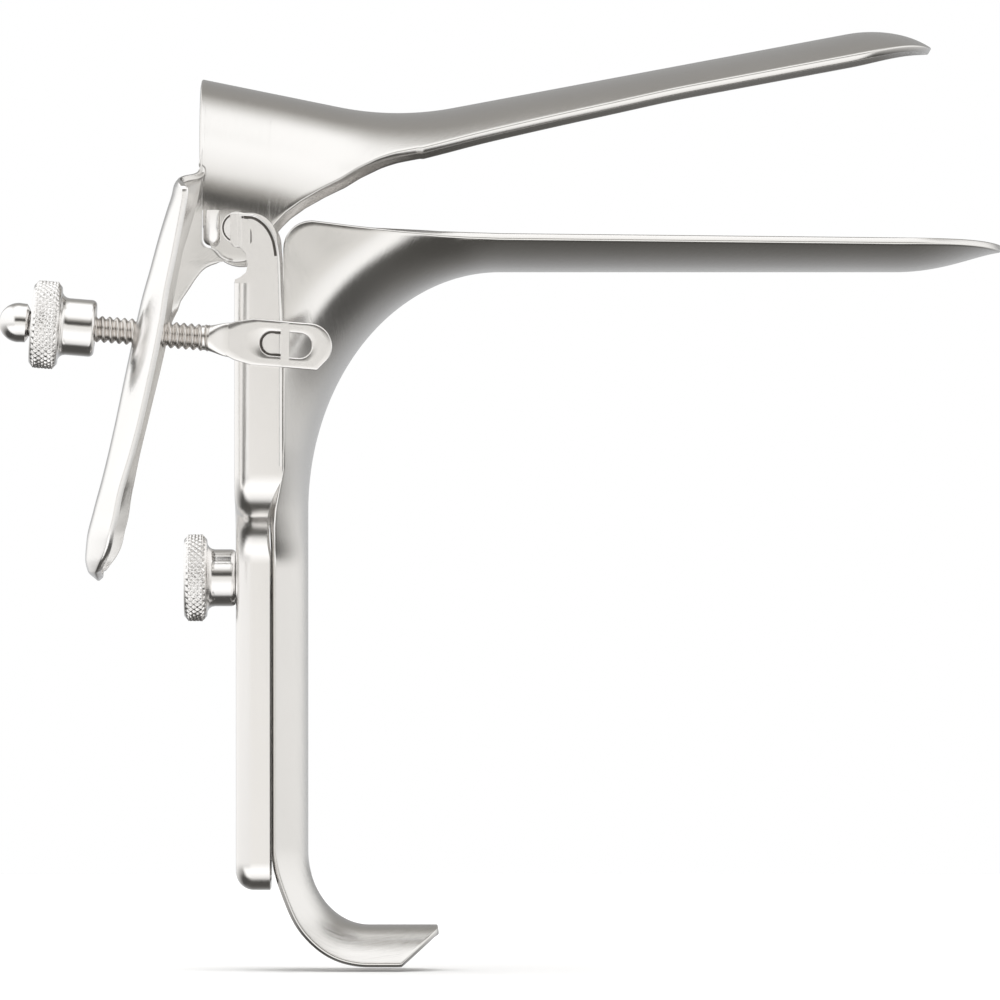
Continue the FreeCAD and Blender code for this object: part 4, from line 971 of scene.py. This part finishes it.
def link_neck():
    """Forged neck: sections that run from the round rod to the flat link.

    Each section is |y / a|^n + |z / b|^n = 1 with the exponent n growing from 2.
    """
    share = np.linspace(0, 1, 30)
    x = -12.0 + 4.4 * share
    flat = ease(0.1, 0.95, share)
    half_thick = 1.55 * (1 - flat) + 0.58 * flat
    half_tall = 1.75 * (1 - flat) + 2.45 * flat
    power = 2 + 4 * flat
    sides = 64
    angle = np.linspace(0, 2 * np.pi, sides, endpoint=False)[:, None]
    c, s = np.cos(angle), np.sin(angle)
    y = np.sign(c) * np.abs(c) ** (2 / power) * half_thick
    z = np.sign(s) * np.abs(s) ** (2 / power) * half_tall
    grid = np.stack([x[None] + 0 * y, y, z], -1)
    first = np.repeat([[[x[0], 0, 0]]], sides, axis=0)
    last = np.repeat([[[x[-1], 0, 0]]], sides, axis=0)
    grid = np.concatenate([first, grid, last], 1)
    return grid.reshape(-1, 3), strip_faces(*grid.shape[:2], close_rows=True)


corners, faces = link_plate()
piece("link_plate", on_rod(corners), faces, FLAT, "rod", ("adjusting_rod",),
      sharp=math.radians(40))
corners, faces = link_neck()
piece("link_neck", on_rod(corners), faces, FLAT, "rod", sharp=math.radians(50))

# the cap at the rod's end: a short neck, a flare and a dome that closes on the axis
cap = np.concatenate([[[-35.0, 0.0], [-35.0, 1.5], [-36.3, 1.5], [-36.7, 2.3], [-37.0, 2.75]],
                      arc_points((-38.05, 0), 2.8, 82, 180, 20)])
cap[-1, 1] = 0
grid = turned(cap, np.linspace(0, 2 * np.pi, 96, endpoint=False))
piece("end_dome", on_rod(grid.reshape(-1, 3)), strip_faces(*grid.shape[:2], close_rows=True),
      POLISHED, "rod", ("rod_end_stop",), sharp=math.radians(50))


def smoothed(node, name, finish, body, angle=28):
    """Copy of a solid's mesh with its corners joined and its soft edges smooth."""
    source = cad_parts[node].data
    corners = np.empty(len(source.vertices) * 3)
    source.vertices.foreach_get("co", corners)
    faces = [tuple(face.vertices) for face in source.polygons]
    return piece(name, corners.reshape(-1, 3) / MM, faces, finish, body, (node,),
                 sharp=math.radians(angle))


yoke = smoothed("yoke", "yoke_pressing", FLAT, "yoke")
near = smoothed("hinge_stud_near", "near_stud", POLISHED, "yoke")
far = smoothed("hinge_stud_far", "far_stud", POLISHED, "yoke")
smoothed("locking_stud", "stem_stud", POLISHED, "lower")


def soften_edges(thing, width, angle=35):
    """Round the sharp edges of a finished piece."""
    step = thing.modifiers.new("edges", "BEVEL")
    step.width = width * MM
    step.segments = 3
    step.limit_method = "ANGLE"
    step.angle_limit = math.radians(angle)
    step.harden_normals = True


soften_edges(yoke, 0.28)
soften_edges(near, 0.2)
soften_edges(far, 0.2)


def flat_piece(name, line, low, high, width=0.15, finish=FLAT):
    """Flat plate on the yoke between two sides across Y, from its outline in side view."""
    count = len(line)
    corners = [(x * MM, y * MM, z * MM) for y in (low, high) for x, z in line]
    faces = [tuple(range(count)), tuple(range(2 * count - 1, count - 1, -1))]
    faces += [(k, k + count, (k + 1) % count + count, (k + 1) % count) for k in range(count)]
    mesh = bpy.data.meshes.new(name)
    mesh.from_pydata(corners, [], faces)
    work = bmesh.new()
    work.from_mesh(mesh)
    bmesh.ops.recalc_face_normals(work, faces=work.faces)
    work.to_mesh(mesh)
    work.free()
    thing = on_body(name, mesh, finish, "yoke")
    if width:
        soften_edges(thing, width)


def beside(line):
    """Unit ways square to a line that lies flat in the side view."""
    way = np.gradient(line, axis=0)
    way /= np.linalg.norm(way, axis=1, keepdims=True)
    return np.stack([way[:, 2], 0 * way[:, 0], -way[:, 0]], 1)


def bead(name, line, radius, body, finish):
    """Half-sunk round wire along a line: a circle carried along the line's normals."""
    sides = 12
    angle = np.linspace(0, 2 * np.pi, sides, endpoint=False)[:, None, None]
    out = np.array([0, -1.0, 0])
    grid = line[None] + radius * (np.cos(angle) * beside(line)[None] + np.sin(angle) * out)
    grid = np.concatenate([np.repeat(line[None, :1], sides, 0), grid,
                           np.repeat(line[None, -1:], sides, 0)], 1)
    piece(name, grid.reshape(-1, 3), strip_faces(*grid.shape[:2], close_rows=True), finish,
          body, sharp=math.radians(50))


def arm_edge(side):
    """Front edge of the near arm from the stem up round its head, at a place across Y."""
    z = np.array([-34, -30, -20, -13, -10, -7, -5, -4, -3, -2, -1.3, -0.6, 0, 0.5, 0.9, 1.2,
                  1.4, 1.6, 1.75, 1.82, 1.85])
    x = through([-49, -35, -13, -10, -5, -2.5, -1.3, 0.2, 1.2, 1.75, 1.85],
                [5.9, 6.2, 6.2, 6.1, 5.95, 5.65, 5.3, 4.45, 3.35, 2.2, 0.4], z)
    return np.stack([x, 0 * x + side, z], 1)


# a drawn bead follows the near arm's front edge; inside it round the head, a dark bead is a painted
# shadow where a groove would lie
bead("arm_bead", arm_edge(-20.98), 0.2, "yoke", POLISHED)
head = arm_edge(-20.93)
head = head[head[:, 2] > -4.5]
groove = head - 0.36 * beside(head)
bead("arm_groove_shadow", groove[:-1], 0.18, "yoke", SHADOW)

# a dark bead round the rear half of the hinge stud paints the shadow in the gap there
turn = np.radians(np.linspace(98, 262, 40))
bead("stud_gap_shadow", np.stack([1.98 * np.cos(turn), 0 * turn - 20.9, 1.98 * np.sin(turn)], 1), 0.1,
     "yoke", SHADOW)

# the near arm's rear edge stands up beside the hinge as a flat tab with a rib
flat_piece("arm_tab", [(-0.95, -2.2), (-0.95, 2.05), (0.7, 2.05), (0.7, -2.75), (-0.4, -2.75)],
           -21.12, -20.0, 0.12)
flat_piece("arm_rib", [(-0.05, -2.6), (-0.05, 1.95), (0.18, 1.95), (0.18, -2.6)], -21.22, -21.0,
           0.08)
flat_piece("arm_fold", [(0.5, -2.9), (0.5, 1.35), (1.5, 1.25), (1.95, 0.7), (1.95, -3.4),
                        (1.3, -3.7), (0.7, -3.1)], -21.05, -20.3, 0.04)
# a dark flat sliver beside the arm's fold is a painted shadow in the slit there
flat_piece("arm_slit_shadow", [(1.8, -2.6), (1.7, -1.2), (1.85, 0.2), (2.1, -0.6), (2.12, -2.0)], -21.02,
           -20.6, 0, SHADOW)
# the arm's rear edge as it runs down past the notch, flush with the arm's outer side
flat_piece("arm_lip", [(1.3, -3.5), (1.35, -4.3), (1.54, -5.3), (1.33, -6.35), (0.48, -7.05),
                       (-0.3, -7.4), (-0.3, -7.9), (3.3, -7.9), (3.3, -3.5)],
           -21.004, -20.0, 0)

# a dark bead paints the shadow on the slot's inner edge, round its rear half behind the link
turn = np.radians(np.linspace(75, 285, 40))
line = np.stack([-1.85 + 1.62 * np.cos(turn), 0 * turn + 0.35, 1.62 * np.sin(turn)], 1)
line = np.concatenate([[[-0.2, 0.35, line[0, 2]]], line, [[-0.2, 0.35, line[-1, 2]]]])
bead("slot_edge_shadow", on_rod(line), 0.17, "rod", SHADOW)


# studio

EYE = Vector((0.0375, -1.95, -0.0388))


def studio():
    """Pale floor, white background, soft light and the camera of the photograph.

    Three ramps give the room's brightness by the height of a direction. Behind the
    object the room is dark below and grey above, on the camera's side it is bright
    with a dark band just over the camera, and at both sides it is bright higher up.
    """
    scene = bpy.context.scene
    scene.view_settings.view_transform = "Standard"
    floor_gap = 0.0008
    low = SOLID_BOX[0].z - floor_gap
    angle = np.linspace(0, 2 * np.pi, 96, endpoint=False)
    rim = [(0.04 + 0.5 * math.cos(a), 0.5 * math.sin(a), low) for a in angle]
    mesh = bpy.data.meshes.new("floor")
    mesh.from_pydata(rim, [], [tuple(range(len(rim)))])
    floor = bpy.data.objects.new("floor", mesh)
    scene.collection.objects.link(floor)
    material = bpy.data.materials.new("pale_floor")
    tree = Tree(material)
    paper = tree.node("ShaderNodeBsdfPrincipled", None,
                      {"Base Color": (0.93, 0.93, 0.93, 1), "Roughness": 0.9})
    tree.finish("ShaderNodeOutputMaterial", paper)
    mesh.materials.append(material)
    floor.visible_glossy = False

    world = bpy.data.worlds.new("studio")
    scene.world = world
    tree = Tree(world)
    aside, away, height = tree.axes(tree.wire("ShaderNodeTexCoord", "Generated"))
    up = height * 0.5 + 0.5
    behind, ahead, beside = (tree.wire("ShaderNodeValToRGB", "Color", None, {"Fac": up}, ramp)
                             for ramp in (BEHIND, AHEAD, BESIDE))
    below = tree.eased(height * -1.0, 0.1, 0.4)
    right = tree.eased(aside, 0.05, 0.3)
    front = tree.eased(away + 0.24 * below * right, -0.36, -0.10)
    sideways = tree.wire("ShaderNodeMath", 0, {"operation": "MAXIMUM"}, {0: aside, 1: aside * -1.7})
    flank = tree.eased(sideways, 0.45, 0.85)
    room = tree.mixed(front, tree.mixed(flank * (1.0 - below), ahead, beside),
                      tree.mixed(flank, behind, beside))
    seen = tree.wire("ShaderNodeLightPath", "Is Camera Ray")
    glow = tree.mixed(seen, room, (1, 1, 1, 1))
    sky = tree.node("ShaderNodeBackground", None, {"Color": glow, "Strength": 1.0})
    tree.finish("ShaderNodeOutputWorld", sky)

    light = bpy.data.lights.new("top", "AREA")
    light.size = 1.6
    light.energy = 14
    lamp = bpy.data.objects.new("top", light)
    lamp.location = (0.0, -0.2, 1.3)
    aim = Vector((EYE.x, 0, EYE.z))
    lamp.rotation_euler = (aim - lamp.location).to_track_quat("-Z", "Y").to_euler()
    lamp.visible_glossy = False
    scene.collection.objects.link(lamp)

    camera = bpy.data.cameras.new("camera")
    camera.lens = 487.5
    camera.sensor_width = 36.0
    camera.clip_end = 50
    eye = bpy.data.objects.new("camera", camera)
    eye.location = EYE
    eye.rotation_euler = (math.pi / 2, 0, 0)
    scene.collection.objects.link(eye)
    scene.camera = eye


def shades(*stops):
    """Ramp stops from (height, brightness, warmth): height runs from -1 to 1."""
    return [((height + 1) / 2, (bright, bright * (1 - 0.035 * warm), bright * (1 - 0.10 * warm)))
            for height, bright, warm in stops]


BEHIND = shades((-1.0, 0.08, 1.0), (-0.88, 0.09, 1.0), (-0.7, 0.18, 0.6), (-0.5, 0.33, 0.0),
                (-0.25, 0.52, -0.2), (0.0, 0.62, -0.2), (0.06, 0.42, 0.0), (0.5, 0.36, 0.4),
                (0.8, 0.36, 0.9), (0.9, 0.75, 0.4), (0.97, 1.3, 0.0))
AHEAD = shades((-1.0, 0.7, 0.3), (-0.85, 1.1, 0.2), (-0.6, 1.3, 0.1), (-0.35, 1.15, 0.1),
               (-0.1, 0.92, 0.5), (0.04, 0.95, 0.4), (0.11, 0.5, 1.0), (0.17, 0.07, 1.0),
               (0.32, 0.08, 1.0), (0.46, 0.4, 1.0), (0.62, 1.1, 0.2), (0.9, 1.3, 0.0))
BESIDE = shades((-1.0, 0.06, 1.0), (-0.6, 0.08, 0.6), (-0.4, 0.40, 0.4), (0.0, 1.05, 0.2),
                (0.3, 1.15, 0.1), (0.6, 1.15, 0.1), (0.97, 1.3, 0.0))

studio()
